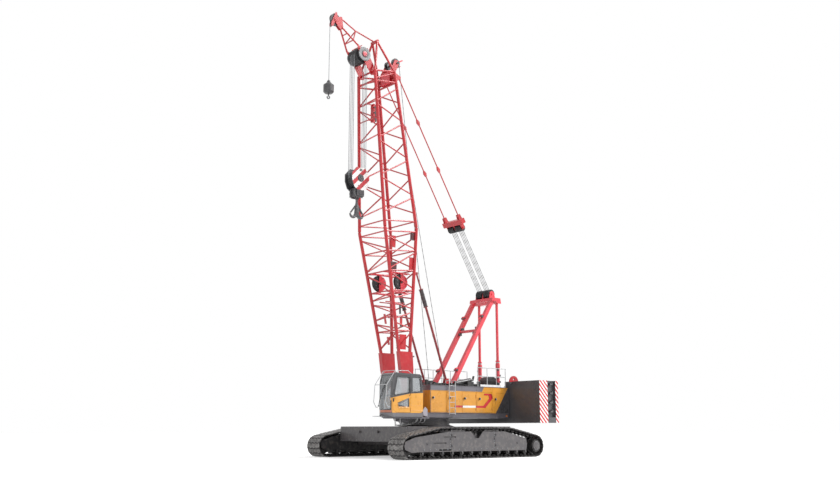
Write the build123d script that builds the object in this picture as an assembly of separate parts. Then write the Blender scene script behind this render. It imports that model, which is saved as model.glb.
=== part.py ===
from build123d import *
import os
from math import atan2, cos, hypot, pi, radians, sin, sqrt

# A crawler crane: a tracked carrier with a lattice boom, in millimetres.
# +X is forward, +Y the left side with the cab, +Z up; the origin is on the ground, on the slew axis.

# Carrier
TRACK_LENGTH = 9630
TRACK_GAUGE = 6588
TRACK_END_RADIUS = 560
TRACK_TOP = 1490
TRACK_TOP_HALF = 2365
SHOE_WIDTH = 1096
SHOE_COUNT = 72
SHOE_DEPTH = 62
GROUSER_DEPTH = 26
LINK_DEPTH = 165
LINK_WIDTH = 420
LUG_DEPTH = 60
TRACK_FRAME_HALF = 445
TRACK_PLATE = 45
FRAME_TOP = 1285
FRAME_SEAMS = (1700, -1280)
ROLLER_RADIUS = 125
ROLLER_COUNT = 12
ROLLER_SPAN = 7000
TOP_ROLLER_RADIUS = 105
RUNNING_GAP = 1
CARBODY_TOP = 1530
CARBODY_DECK = 1480
ARM_FRONT = 2250
DRUM_RADIUS = 1230
SLEW_LEVEL = 1860

# Revolving frame and machinery houses
DECK_UNDER = 1970
DECK_TOP = 2210
HOUSE_TOP = 3600
BAND_BOTTOM = 3330
HOUSE_HALF = 1600
HOUSE_FRONT = 1120
HOUSE_REAR = -4560
GIRDER_INNER = 620
GIRDER_OUTER = 820
GIRDER_TOP = 3560
WALL = 50
DOOR_SEAMS = (1120, -60, -1080, -2130, -3330)
DOOR_PANELS = (0, 2, 3)
DOOR_FRAME = 30
DOOR_GAP = 12
DOOR_SET_BACK = 2
HINGE_OUT = 14
HINGE_RADIUS = 13

# Counterweight
WEIGHT_FRONT = -4610
WEIGHT_REAR = -6100
WEIGHT_HALF = 3810
WEIGHT_BOTTOM = 1720
WEIGHT_TOP = 3930
WEIGHT_STACK = 2010
SLAB_COUNT = 4
WEIGHT_LUG = (-4760, 4030)
WEIGHT_LUG_Y = 1830
WEIGHT_LUG_WIDTH = 60
WEIGHT_EYE = 60
WINCHES = ((-250, 3050, 260, 430), (-1900, 3050, 260, 430), (-3500, 3400, 300, 480))

# Gantry
GANTRY_FOOT = (-900, 3230)
GANTRY_TOP = (-4370, 8590)
GANTRY_HEAD = (-4490, 8860)
REAR_LEG_X = -4700

# Ropes and sheaves
GROOVE = 40
ROPE = 16
ROPE_SEAT = 28
FALL_LANES = (-180, -60, 60, 180)

# Boom
FOOT_PIN = (1880, 3200)
LEG_TOP = 5250
JOINT_FRONT = (3690, 11440)
JOINT_REAR = (1587, 11660)
JOINT_HALF = 1066
JOINT_CLEAR = 80
JOINT_PIN = 28
FOOT_LEVELS = (5330, 6300, 6800, 7300, 7800, 8300, 9300, 10300, 11150)
FOOT_FRAMES = (6300, 8300, 9300, 10300, 11270)
TOP_LEVELS = (12173, 13168, 14162, 15157, 16152, 17146, 18141, 19100)
TOP_FRAMES = (11820,)
HEAD_FRONT = (4120, 19150)
HEAD_REAR = (2722, 19350)
HEAD_HALF = 740
LEG_HALF = 715
CHORD = 85
LACING = 38
LACING_SIDES = 8
LACING_OFFSET = 95
MAIN_SHEAVES = (4710, 20720)
MAIN_SHEAVE_RADIUS = 430
REAR_SHEAVES = (2440, 20880)
TIP_SHEAVES = (6290, 22330)
TIP_SHEAVE_RADIUS = 330
MAST_TOP = (3640, 21850)
PENDANT_EYE = (2420, 19950)
PENDANT_HALF = 560
BAIL_AT = 4160

# Backstops
BACKSTOP_FOOT = (-650, 3900)
BACKSTOP_EYE = (1400, 9330)
BACKSTOP_HALF = 860

# Hooks
BLOCK_TOP = 14550
AUX_TOP = 18900

# Rails and guards
RAIL = 19
RAIL_TOP = 4600
GUARD = 15

# Cab
CAB_REAR = 1950
CAB_INNER = 1000
CAB_OUTER = 2000
CAB_BOTTOM = 1980
CAB_WALL = 55
CAB_SEAM = 2740
CAB_PILLAR = 3870


def block(x0, x1, y0, y1, z0, z1):
    """A box between two corners."""
    return Pos((x0 + x1) / 2, (y0 + y1) / 2, (z0 + z1) / 2) * Box(x1 - x0, y1 - y0, z1 - z0)


def outline(points, axis, low):
    """A flat face across axis (x, y or z) at low."""
    place = {"x": lambda a, b: (low, a, b), "y": lambda a, b: (a, low, b), "z": lambda a, b: (a, b, low)}[axis]
    return make_face(Polyline(*[place(a, b) for a, b in points], close=True))


def prism(points, axis, low, high):
    """A solid with an outline across axis, from low to high along it."""
    low, high = sorted((low, high))
    along = {"x": (1, 0, 0), "y": (0, 1, 0), "z": (0, 0, 1)}[axis]
    return extrude(outline(points, axis, low), amount=high - low, dir=along)


def rod(start, end, radius, sides=0):
    """A round bar from start to end, or a bar with that many flat sides."""
    start, end = Vector(*start), Vector(*end)
    plane = Plane(origin=start, z_dir=end - start)
    section = plane * (RegularPolygon(radius, sides) if sides else Circle(radius))
    return extrude(section, amount=(end - start).length)


def axle(point, y0, y1, radius):
    """A round bar along Y through a point given in X and Z."""
    return rod((point[0], y0, point[1]), (point[0], y1, point[1]), radius)


def pipe(points, radius):
    """A tube through points, with a ball at each turn."""
    runs = [rod(a, b, radius) for a, b in zip(points, points[1:])]
    turns = [Pos(*point) * Sphere(radius) for point in points[1:-1]]
    return join(*runs, *turns)


def join(*shapes):
    """One solid from shapes that meet."""
    return Part() + list(shapes)


def join_in_turn(first, *others):
    """One solid from shapes that meet, added one after the other."""
    for other in others:
        first += other
    return first


def mirrored(shape):
    """The same shape on the other side of the crane."""
    return mirror(shape, about=Plane.XZ)


def both(*shapes):
    """Shapes and their twins on the other side."""
    return [twin for shape in shapes for twin in (shape, mirrored(shape))]


def between(start, end, share):
    """The point that share of the way from start to end."""
    return tuple(a + (b - a) * share for a, b in zip(start, end))


def shifted(points, centre):
    """Points given from a centre, in X and Z."""
    return [(centre[0] + x, centre[1] + z) for x, z in points]


def save(node, *shapes):
    """Writes the shapes' solids as one STEP file, named for the node."""
    solids = [solid for shape in shapes for solid in shape.solids()]
    export_step(Compound(children=solids), f"parts/{node}.step")
    print(node, len(solids), round(sum(s.volume for s in solids) / 1e9, 3), "m3")


def sheave(centre, y, radius, width, bore):
    """A grooved rope sheave that turns on an axle along Y."""
    half = width / 2
    profile = [
        (0, -half), (radius, -half), (radius, -0.6 * half), (radius - GROOVE, 0),
        (radius, 0.6 * half), (radius, half), (0, half),
    ]
    face = make_face(Polyline(*[(centre[0] + r, y + v, centre[1]) for r, v in profile], close=True))
    wheel = revolve(face, axis=Axis((centre[0], y, centre[1]), (0, 1, 0)))
    return wheel - axle(centre, y - width, y + width, bore + RUNNING_GAP)


# Tracks: the outer path is the ground, an end circle, a sloping run and the flat top, on both halves.

END_X = TRACK_LENGTH / 2 - TRACK_END_RADIUS
TRACK_Y = TRACK_GAUGE / 2
SLOPE_RUN, SLOPE_RISE = END_X - TRACK_TOP_HALF, TRACK_TOP - TRACK_END_RADIUS
SLOPE_LENGTH = sqrt(SLOPE_RUN**2 + SLOPE_RISE**2 - TRACK_END_RADIUS**2)
SLOPE = atan2(SLOPE_RISE, SLOPE_RUN) - atan2(TRACK_END_RADIUS, SLOPE_LENGTH)
END_ARC = (pi - SLOPE) * TRACK_END_RADIUS
HALF_PATH = END_X + END_ARC + SLOPE_LENGTH + TRACK_TOP_HALF
SHOE_PITCH = 2 * HALF_PATH / SHOE_COUNT


def track_point(s):
    """The point and outward normal at a distance s along the outer path, from the middle of the ground."""
    s %= 2 * HALF_PATH
    flip = 1
    if s > HALF_PATH:
        s, flip = 2 * HALF_PATH - s, -1
    if s <= END_X:
        point, normal = (s, 0), (0, -1)
    elif s <= END_X + END_ARC:
        turn = (s - END_X) / TRACK_END_RADIUS
        normal = (sin(turn), -cos(turn))
        point = (END_X + TRACK_END_RADIUS * normal[0], TRACK_END_RADIUS + TRACK_END_RADIUS * normal[1])
    elif s <= HALF_PATH - TRACK_TOP_HALF:
        left = HALF_PATH - TRACK_TOP_HALF - s
        normal = (sin(SLOPE), cos(SLOPE))
        point = (TRACK_TOP_HALF + left * cos(SLOPE), TRACK_TOP - left * sin(SLOPE))
    else:
        point, normal = (HALF_PATH - s, TRACK_TOP), (0, 1)
    return (flip * point[0], point[1]), (flip * normal[0], normal[1])


def track_outline(steps):
    """A closed outline with the same steps in every shoe: (share of the pitch, depth in from the outside)."""
    points = []
    for shoe in range(SHOE_COUNT):
        for share, depth in steps:
            (x, z), (nx, nz) = track_point((shoe + 0.5 + share) * SHOE_PITCH)
            points.append((x - depth * nx, z - depth * nz))
    return points


def track_band(outer, inner, width):
    """A ring between two outlines, as wide as the shoes or the links."""
    low, high = TRACK_Y - width / 2, TRACK_Y + width / 2
    return prism(outer, "y", low, high) - prism(inner, "y", low, high)


def make_track():
    """The left track: shoes with a step between them, and the links with their guide lugs inside."""
    shoes = track_outline([(0.02, 0), (0.62, 0), (0.7, GROUSER_DEPTH), (0.94, GROUSER_DEPTH)])
    seat = track_outline([(0, SHOE_DEPTH)])
    low, high = LINK_DEPTH - LUG_DEPTH, LINK_DEPTH
    lugs = track_outline([(0.1, low), (0.3, high), (0.7, high), (0.9, low)])
    return join(track_band(shoes, seat, SHOE_WIDTH), track_band(seat, lugs, LINK_WIDTH))


FRAME_INNER, FRAME_OUTER = TRACK_Y - TRACK_FRAME_HALF, TRACK_Y + TRACK_FRAME_HALF
TOP_ROLLERS = (-155, 85)
TOP_ROLLER_LEVEL = TRACK_TOP - LINK_DEPTH - RUNNING_GAP - TOP_ROLLER_RADIUS
TOP_SADDLE = [(-240, 930), (-215, 1240), (-95, 1240), (-60, 1120), (-10, 1120), (25, 1240), (145, 1240), (170, 930)]


def make_track_frame():
    """The left side frame: a box between two outline plates, open where the wheels and rollers turn."""
    plate = [
        (4150, 330), (4560, 470), (4600, 640), (4540, 830), (3950, 1020), (1770, FRAME_TOP), (370, FRAME_TOP),
        (100, 970), (-170, 970), (-450, FRAME_TOP), (-2010, FRAME_TOP), (-3560, 950), (-3620, 640), (-3560, 350),
        (3650, 350),
    ]
    core = [(3650, 460), (3650, 930), (1900, 1080), (400, 1080), (100, 940), (-170, 940), (-450, 1080),
            (-2300, 1080), (-3500, 860), (-3500, 460)]
    arm = [(-3620, 350), (-3560, 950), (-4000, 900), (-4560, 640), (-4480, 470), (-4100, 330)]
    frame = join(
        prism(plate, "y", FRAME_INNER, FRAME_INNER + TRACK_PLATE),
        prism(plate, "y", FRAME_OUTER - TRACK_PLATE, FRAME_OUTER),
        prism(core, "y", FRAME_INNER + TRACK_PLATE, FRAME_OUTER - TRACK_PLATE),
        prism(arm, "y", FRAME_INNER, FRAME_INNER + TRACK_PLATE),
        *[axle((x, 950), FRAME_OUTER, FRAME_OUTER + 35, 45) for x in FRAME_SEAMS],
        *make_skids(),
        *[prism(TOP_SADDLE, "y", TRACK_Y + y - 20, TRACK_Y + y + 20) for y in (-235, 235)],
    )
    for x in FRAME_SEAMS:
        frame -= block(x - 12, x + 12, FRAME_OUTER - 10, FRAME_OUTER + 1, 400, 1190)
    for x, z in ((1380, 1030), (2000, 750), (1660, 430)):
        frame -= block(x, x + 800, FRAME_OUTER - TRACK_PLATE, FRAME_OUTER + 1, z - 30, z + 30)
    for x in TOP_ROLLERS:
        frame -= axle((x, TOP_ROLLER_LEVEL), TRACK_Y - 260, TRACK_Y + 260, 40 + RUNNING_GAP)
    return frame


def make_skids():
    """The bars on brackets that keep the track's top run off the side frame."""
    skids = []
    for x0, x1 in ((870, 1700), (-1550, -560)):
        for y in (FRAME_INNER + 22, FRAME_OUTER - 22):
            skids.append(rod((x0, y, 1345), (x1, y, 1345), 20, LACING_SIDES))
            skids += [block(x - 30, x + 30, y - 22, y + 22, FRAME_TOP - 5, 1340) for x in (x0 + 30, x1 - 30)]
    return skids


WHEEL_HALF = TRACK_FRAME_HALF - TRACK_PLATE - RUNNING_GAP


def make_end_wheel(side):
    """An idler or a drive wheel in the track's end, with its hub."""
    centre = (side * END_X, TRACK_END_RADIUS)
    radius = TRACK_END_RADIUS - LINK_DEPTH - 10 * RUNNING_GAP
    return join(axle(centre, TRACK_Y - 190, TRACK_Y + 190, radius),
                axle(centre, TRACK_Y - WHEEL_HALF, TRACK_Y + WHEEL_HALF, 170))


def make_drive_wheel():
    """The left drive wheel with the round gear case and its cover on the outside."""
    centre = (-END_X, TRACK_END_RADIUS)
    return join(make_end_wheel(-1), axle(centre, TRACK_Y + 100, TRACK_Y + 500, 310),
                axle(centre, TRACK_Y + 500, TRACK_Y + 522, 250))


def make_rollers():
    """The left bottom rollers and the two that carry the track's top run."""
    level = LINK_DEPTH + ROLLER_RADIUS + RUNNING_GAP
    pitch = ROLLER_SPAN / (ROLLER_COUNT - 1)
    bottom = [axle((i * pitch - ROLLER_SPAN / 2, level), TRACK_Y - WHEEL_HALF, TRACK_Y + WHEEL_HALF, ROLLER_RADIUS)
              for i in range(ROLLER_COUNT)]
    top = [join(axle((x, TOP_ROLLER_LEVEL), TRACK_Y - 210, TRACK_Y + 210, TOP_ROLLER_RADIUS),
                axle((x, TOP_ROLLER_LEVEL), TRACK_Y - 265, TRACK_Y + 265, 40)) for x in TOP_ROLLERS]
    return bottom + top


# Carrier


def make_carbody():
    """The centre of the carrier: a box, two cross beams to the side frames, and the drum for the slewing ring."""
    middle = block(-1900, 1900, -1700, 1700, 620, CARBODY_DECK)
    beams = [block(*sorted((side * 1000, side * ARM_FRONT)), -FRAME_INNER, FRAME_INNER, 620, 1280)
             for side in (-1, 1)]
    drum = Pos(0, 0, CARBODY_DECK) * Cylinder(DRUM_RADIUS, SLEW_LEVEL - 60 - CARBODY_DECK,
                                              align=(Align.CENTER, Align.CENTER, Align.MIN))
    skirt = Pos(0, 0, CARBODY_DECK) * Cone(DRUM_RADIUS + 420, DRUM_RADIUS, 130,
                                           align=(Align.CENTER, Align.CENTER, Align.MIN))
    return join(middle, *beams, drum, skirt)


WEIGHT_PIN_LEVEL = 1270
WEIGHT_PIN_RADIUS = 60
WEIGHT_PIN_LENGTH = 90


def make_carrier_weight(side):
    """The broad weight block hung on the front or rear of the carbody, with two lifting pins in its face."""
    near, far = side * ARM_FRONT, side * 3500
    body = prism([(near, 900), (near, CARBODY_TOP), (far - side * 25, CARBODY_TOP), (far, CARBODY_TOP - 25),
                  (far, 815), (far - side * 25, 790), (near, 790)], "y", -2700, 2700)
    pins = [rod((far, y, WEIGHT_PIN_LEVEL), (far + side * WEIGHT_PIN_LENGTH, y, WEIGHT_PIN_LEVEL), WEIGHT_PIN_RADIUS)
            for y in (-1050, 410)]
    return join(body, *pins)


# Revolving frame


def make_slew_ring():
    """The ring that turns on the drum, with the flange bolted under the deck."""
    low = SLEW_LEVEL - 52
    ring = Pos(0, 0, low) * Cylinder(1120, DECK_UNDER - low, align=(Align.CENTER, Align.CENTER, Align.MIN))
    flange = Pos(0, 0, DECK_UNDER - 60) * Cylinder(1190, 60, align=(Align.CENTER, Align.CENTER, Align.MIN))
    return join(ring, flange)


def make_revolving_frame():
    """The deck plate, two long girders, the lugs for the boom's foot and the brackets for the backstops."""
    plate = block(HOUSE_REAR, 1400, -HOUSE_HALF + 10, HOUSE_HALF - 10, DECK_UNDER, DECK_TOP)
    nose = block(1400, 2200, -950, 950, DECK_UNDER, DECK_TOP)
    girder = prism([(HOUSE_REAR, DECK_TOP), (2180, DECK_TOP), (2180, 2780), (1500, 2880), (900, GIRDER_TOP),
                    (HOUSE_REAR, GIRDER_TOP)], "y", GIRDER_INNER, GIRDER_OUTER)
    lug = [(1500, DECK_TOP), (2180, DECK_TOP), (2100, 3330), (1980, 3430), (1780, 3430), (1640, 3330)]
    frame = join(plate, nose, *both(girder, prism(lug, "y", 520, 580), prism(lug, "y", 870, 930)))
    return frame - axle(FOOT_PIN, -1000, 1000, 70 + RUNNING_GAP)


def make_boom_pins():
    """The two pins through the boom's feet."""
    return both(axle(FOOT_PIN, 500, 950, 70))


def make_side_lamps():
    """The round marker lamps low on the frame's rear corners."""
    return both(axle((-4400, 2090), HOUSE_HALF - 10, HOUSE_HALF + 18, 48))


# Machinery houses

DOOR_LOW, DOOR_HIGH = DECK_TOP + 40, BAND_BOTTOM - 20
HINGE_LEVELS = (DOOR_LOW + 180, DOOR_HIGH - 260)
BARREL = 80


def hinge_part(x, wall, low, high, toward):
    """One part of a hinge's barrel just outside a wall, with the strap that joins it to the panel on one side."""
    barrel = rod((x, wall + HINGE_OUT, low), (x, wall + HINGE_OUT, high), HINGE_RADIUS)
    return join(barrel, block(*sorted((x, x + 40 * toward)), wall - DOOR_SET_BACK, wall + 8, low, high))


def hinge_leaves(x, wall, levels, toward):
    """The moving barrels of a door's hinges."""
    return [hinge_part(x, wall, z, z + BARREL, toward) for z in levels]


def hinge_posts(x, wall, levels, toward):
    """The fixed barrels above and below each moving one."""
    return [hinge_part(x, wall, z + low, z + high, toward)
            for z in levels for low, high in ((-45, -5), (BARREL + 5, BARREL + 45))]


def door_span(index):
    """The front and rear X of a house door's opening."""
    return DOOR_SEAMS[index] - DOOR_FRAME, DOOR_SEAMS[index + 1] + DOOR_FRAME


def make_house():
    """The left machinery house: walls, roof and floor flange, open where the doors are."""
    shell = block(HOUSE_REAR, HOUSE_FRONT, GIRDER_OUTER, HOUSE_HALF, DECK_TOP, HOUSE_TOP)
    shell -= block(HOUSE_REAR + WALL, HOUSE_FRONT - WALL, GIRDER_OUTER + WALL, HOUSE_HALF - WALL,
                   DECK_TOP - 1, HOUSE_TOP - WALL)
    for seam in DOOR_SEAMS[1:]:
        shell -= block(seam - 5, seam + 5, HOUSE_HALF - 8, HOUSE_HALF + 1, DECK_TOP - 1, HOUSE_TOP + 1)
    chevron = [(-3640, 3290), (-4270, 3290), (-4170, 3080), (-3470, 2430), (-3600, 2860)]
    shell -= prism(chevron, "y", HOUSE_HALF - 18, HOUSE_HALF + 1)
    posts = []
    for index in DOOR_PANELS:
        front, rear = door_span(index)
        shell -= block(rear, front, HOUSE_HALF - WALL - 1, HOUSE_HALF + 1, DOOR_LOW, DOOR_HIGH)
        posts += hinge_posts(rear + DOOR_GAP, HOUSE_HALF, HINGE_LEVELS, -1)
    return join(shell, *posts)


def make_right_house():
    """The right house: the left one's mirror image, with slots for the radiator's air at its rear."""
    shell = mirrored(make_house())
    for i in range(9):
        z = 2560 + i * 60
        shell -= block(-3280, -2280 - WALL, -HOUSE_HALF - 1, -HOUSE_HALF + WALL + 1, z, z + 28)
    return shell


def make_door(index):
    """A left house door, hinged at its rear edge, as thick as the wall."""
    front, rear = door_span(index)
    face = HOUSE_HALF - DOOR_SET_BACK
    leaf = block(rear + DOOR_GAP, front - DOOR_GAP, HOUSE_HALF - WALL, face, DOOR_LOW + DOOR_GAP, DOOR_HIGH - DOOR_GAP)
    latch = join(block(front - 190, front - 90, face, face + 14, 2910, 3010),
                 block(front - 170, front - 110, face + 14, face + 34, 2940, 2980))
    return join(leaf, latch, *hinge_leaves(rear + DOOR_GAP, HOUSE_HALF, HINGE_LEVELS, 1))


def make_engine():
    """The engine, as one plain block in the right house."""
    return block(-3900, -2300, -1480, -880, DECK_TOP + 1, 3300)


# Counterweight


def make_counterweight_tray():
    """The bottom slab that carries the stacks."""
    return block(WEIGHT_REAR, WEIGHT_FRONT, -WEIGHT_HALF, WEIGHT_HALF, WEIGHT_BOTTOM, WEIGHT_STACK)


def make_counterweight_stack():
    """The left stack of slabs, with a recess in its outer end and a lifting hook on each slab there."""
    stack = block(WEIGHT_REAR, WEIGHT_FRONT, 1300, WEIGHT_HALF, WEIGHT_STACK, WEIGHT_TOP)
    stack -= block(-5880, -5250, WEIGHT_HALF - 160, WEIGHT_HALF + 1, WEIGHT_STACK - 1, WEIGHT_TOP + 1)
    slab = (WEIGHT_TOP - WEIGHT_STACK) / SLAB_COUNT
    for i in range(1, SLAB_COUNT):
        z = WEIGHT_STACK + i * slab
        stack -= block(WEIGHT_FRONT - 12, WEIGHT_FRONT + 1, 1299, WEIGHT_HALF + 1, z - 6, z + 6)
        stack -= block(WEIGHT_REAR - 1, WEIGHT_FRONT + 1, WEIGHT_HALF - 12, WEIGHT_HALF + 1, z - 6, z + 6)
    hooks = []
    for i in range(SLAB_COUNT):
        z = WEIGHT_STACK + (i + 0.62) * slab
        hooks += [block(-5640, -5490, WEIGHT_HALF - 161, WEIGHT_HALF - 30, z - 45, z + 45),
                  block(-5700, -5640, WEIGHT_HALF - 161, WEIGHT_HALF - 30, z - 45, z + 100)]
    return join(stack, *hooks, make_weight_lug())


def make_weight_lug():
    """The left half-round lifting plate, hooked over the stack's front edge."""
    x, z = WEIGHT_LUG
    arc = [(x + 340 * cos(radians(a)), z - 130 + 330 * sin(radians(a))) for a in range(0, 181, 18)]
    foot = [(x - 340, WEIGHT_TOP - 5), (WEIGHT_FRONT - 5, WEIGHT_TOP - 5), (WEIGHT_FRONT - 5, WEIGHT_TOP - 150),
            (x + 340, WEIGHT_TOP - 150)]
    y0, y1 = WEIGHT_LUG_Y - WEIGHT_LUG_WIDTH / 2, WEIGHT_LUG_Y + WEIGHT_LUG_WIDTH / 2
    return prism(arc + foot, "y", y0, y1) - axle(WEIGHT_LUG, y0 - 1, y1 + 1, WEIGHT_EYE)


def make_counterweight_centre():
    """The lower slab between the two stacks."""
    return block(WEIGHT_REAR + 250, WEIGHT_FRONT, -1299, 1299, WEIGHT_STACK, GIRDER_TOP)


# Gantry


def gantry_line(z):
    """The X of the gantry's front legs at a level."""
    run = (z - GANTRY_FOOT[1]) / (GANTRY_TOP[1] - GANTRY_FOOT[1])
    return GANTRY_FOOT[0] + run * (GANTRY_TOP[0] - GANTRY_FOOT[0])


def make_gantry_legs():
    """The two leaning box legs with ears and a cross bar, and the two upright telescopic legs behind."""
    low, high = GIRDER_TOP, 8420
    foot, head = gantry_line(low), gantry_line(high)
    leg = prism([(foot - 130, low), (foot + 130, low), (head + 130, high), (head - 130, high)],
                "y", GIRDER_INNER, GIRDER_OUTER)
    ears = [prism([(gantry_line(z) + 100, z - 130), (gantry_line(z) + 260, z - 20), (gantry_line(z) + 260, z + 90),
                   (gantry_line(z) + 60, z + 150)], "y", y, y + 30) for z in (4480, 7500) for y in (660, 750)]
    bar = axle((gantry_line(6700), 6700), -700, 700, 80)
    front = join(*both(join(leg, *ears)), bar)
    x = REAR_LEG_X
    rear = join(rod((x, 700, GIRDER_TOP), (x, 700, 5080), 105), rod((x, 700, 5000), (x, 700, 8300), 75),
                rod((x, 700, 5060), (x, 700, 5120), 120), rod((x, 700, GIRDER_TOP), (x, 700, GIRDER_TOP + 60), 150))
    return [front, *both(rear)]


def make_gantry_head():
    """The cross beam at the gantry's top with its cheek plates and the sheave axle."""
    beam = prism([(-4860, 8301), (-4560, 8301), (-4440, 8421), (-4130, 8421), (-4180, 8600), (-4800, 8600)],
                 "y", -900, 900)
    cheek = [(-4760, 8500), (-4250, 8500), (-4330, 8960), (-4490, 9040), (-4650, 8960)]
    cheeks = [prism(cheek, "y", y, y + 40) for y in (-560, -20, 520)]
    return join(beam, *cheeks, axle(GANTRY_HEAD, -600, 600, 60))


def make_gantry_sheaves():
    """The sheaves of the luffing ropes on the gantry."""
    return [sheave(GANTRY_HEAD, y, 260, 90, 60) for y in FALLS]


def make_winch(x, z, radius, flange):
    """A rope drum between its two flanges, in the well between the houses."""
    drum = axle((x, z), -500, 500, radius)
    ends = [axle((x, z), y, y + 50, flange) for y in (-550, 500)]
    return join(drum, *ends, axle((x, z), 1 - GIRDER_INNER, GIRDER_INNER - 1, 120))


# Deck


def make_deck_machinery():
    """What stands on the houses' roofs: the muffler, a domed air hood, and low boxes."""
    hood = prism([(-3870, HOUSE_TOP), (-3870, 3950), (-3780, 4090), (-3600, 4165), (-3300, 4165), (-3120, 4090),
                  (-3030, 3950), (-3030, HOUSE_TOP)], "y", 950, 1430)
    for i in range(8):
        x = -3780 + i * 90
        hood -= block(x, x + 30, 1400, 1431, 3700, 3930)
    muffler = join(
        rod((-970, 1200, 3730), (-2070, 1200, 3920), 130),
        pipe([(-2050, 1200, 3917), (-2260, 1200, 3953), (-2330, 1200, 4150)], 55),
        block(-1200, -1120, 1110, 1290, HOUSE_TOP, 3760), block(-1900, -1820, 1110, 1290, HOUSE_TOP, 3880),
    )
    hatch = block(90, 780, 1000, 1400, HOUSE_TOP, 3700)
    box = block(-1990, -1550, 1400, 1560, HOUSE_TOP, 3840)
    cleaner = join(block(-1700, -1300, -1350, -1050, HOUSE_TOP, 3760), axle((-1500, 3850), -1450, -950, 150))
    right_hatch = block(-200, 600, -1400, -1000, HOUSE_TOP, 3700)
    return [hood, muffler, hatch, box, cleaner, right_hatch]


def make_railing(x0, x1, y):
    """A handrail along a roof's edge, with a knee rail and posts."""
    count = round((x1 - x0) / 700)
    posts = [rod((x0 + i * (x1 - x0) / count, y, HOUSE_TOP), (x0 + i * (x1 - x0) / count, y, RAIL_TOP), RAIL)
             for i in range(count + 1)]
    rails = [rod((x0 - RAIL, y, z), (x1 + RAIL, y, z), RAIL) for z in (RAIL_TOP, RAIL_TOP - 450)]
    return join(*posts, *rails)


def make_ladder():
    """The ladder up the left house's fixed panel, its stiles bent over the roof's edge."""
    y = HOUSE_HALF + 110
    stiles = [pipe([(x, y, 2120), (x, y, 3830), (x, HOUSE_HALF - 160, 3830), (x, HOUSE_HALF - 160, HOUSE_TOP)], RAIL)
              for x in (-510, -90)]
    rungs = [rod((-510, y, 2180 + i * 280), (-90, y, 2180 + i * 280), 14) for i in range(6)]
    feet = [block(x - 12, x + 12, HOUSE_HALF, y, z - 12, z + 12) for x in (-510, -90) for z in (2320, 3280)]
    return join(*stiles, *rungs, *feet)


# Cab


def cab_form(inset):
    """The cab's closed form, or the same form at a depth inside its outer surface."""
    side = [
        (CAB_REAR, CAB_BOTTOM), (3900, CAB_BOTTOM), (4060, 2080), (4110, 2300), (4110, 2700), (4060, 3150),
        (3780, 4010), (3660, 4090), (2140, 4050), (2040, 3960), (CAB_REAR, 3150),
    ]
    face = offset(outline(side, "y", CAB_INNER + inset), amount=-inset) if inset else outline(side, "y", CAB_INNER)
    body = extrude(face, amount=CAB_OUTER - CAB_INNER - 2 * inset, dir=(0, 1, 0))
    low = CAB_BOTTOM - 80
    plan = make_face(
        Polyline((3880 - inset, CAB_INNER + inset, low), (1900, CAB_INNER + inset, low),
                 (1900, CAB_OUTER - inset, low), (3880 - inset, CAB_OUTER - inset, low))
        + ThreePointArc((3880 - inset, CAB_OUTER - inset, low),
                        (4110 - inset, (CAB_INNER + CAB_OUTER) / 2, low),
                        (3880 - inset, CAB_INNER + inset, low))
    )
    return body & extrude(plan, amount=2300, dir=(0, 0, 1))


def cab_windows():
    """The cutters for the cab's windows, but for the door's own."""
    mid = CAB_OUTER - 100
    return [
        prism([(2060, 3200), (2660, 3160), (2660, 3900), (2150, 3900)], "y", mid, CAB_OUTER + 100),
        prism([(2060, 3200), (3860, 3000), (3640, 3950), (2150, 3900)], "y", CAB_INNER - 100, CAB_INNER + 100),
        block(CAB_REAR - 100, CAB_REAR + 200, CAB_INNER + 150, CAB_OUTER - 150, 3200, 3800),
        prism([(CAB_INNER + 80, 2330), (CAB_OUTER - 80, 2330), (CAB_OUTER - 80, 3960), (CAB_INNER + 80, 3960)],
              "x", 3700, 4300) - block(3000, 3640, 900, 2100, 2200, 4300),
    ]


DOOR_SIDE = [(CAB_SEAM, 2180), (3640, 2180), (CAB_PILLAR, 2330), (CAB_PILLAR, 3100), (3640, 3960), (CAB_SEAM, 3960)]
UPPER_PANE = [(2830, 3150), (3770, 3000), (3770, 3080), (3600, 3880), (2830, 3880)]
LOWER_PANE = [(3560, 2560), (2860, 2850), (2860, 2440)]
CAB_HINGE_LEVELS = (2320, 3700)


def make_cab_shell():
    """The cab's walls, roof and floor, with the window openings and the doorway cut."""
    shell = cab_form(0) - cab_form(CAB_WALL)
    for cutter in cab_windows():
        shell -= cutter
    shell -= prism(DOOR_SIDE, "y", CAB_OUTER - 120, CAB_OUTER + 100)
    return join(shell, *hinge_posts(CAB_SEAM + DOOR_GAP, CAB_OUTER, CAB_HINGE_LEVELS, -1))


def make_cab_door():
    """The cab door, hinged at its rear edge, with its two windows cut and a raised frame round the lower one."""
    leaf = extrude(offset(outline(DOOR_SIDE, "y", CAB_OUTER - CAB_WALL), amount=-DOOR_GAP),
                   amount=CAB_WALL - DOOR_SET_BACK, dir=(0, 1, 0))
    face = CAB_OUTER - DOOR_SET_BACK
    frame = extrude(offset(outline(LOWER_PANE, "y", face - 1), amount=28), amount=13, dir=(0, 1, 0))
    leaf = join(leaf, frame)
    for pane in (UPPER_PANE, LOWER_PANE):
        leaf -= prism(pane, "y", CAB_OUTER - 100, CAB_OUTER + 100)
    handle = block(3640, 3780, face - 1, face + 22, 2860, 2890)
    return join(leaf, handle, *hinge_leaves(CAB_SEAM + DOOR_GAP, CAB_OUTER, CAB_HINGE_LEVELS, 1))


def make_cab_glass():
    """The cab's fixed panes, in the middle of the walls."""
    skin = cab_form(20) - cab_form(32)
    return [skin & cutter for cutter in cab_windows()]


def make_door_glass():
    """The door's two panes."""
    return [prism(pane, "y", CAB_OUTER - 35, CAB_OUTER - 23) for pane in (UPPER_PANE, LOWER_PANE)]


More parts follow.
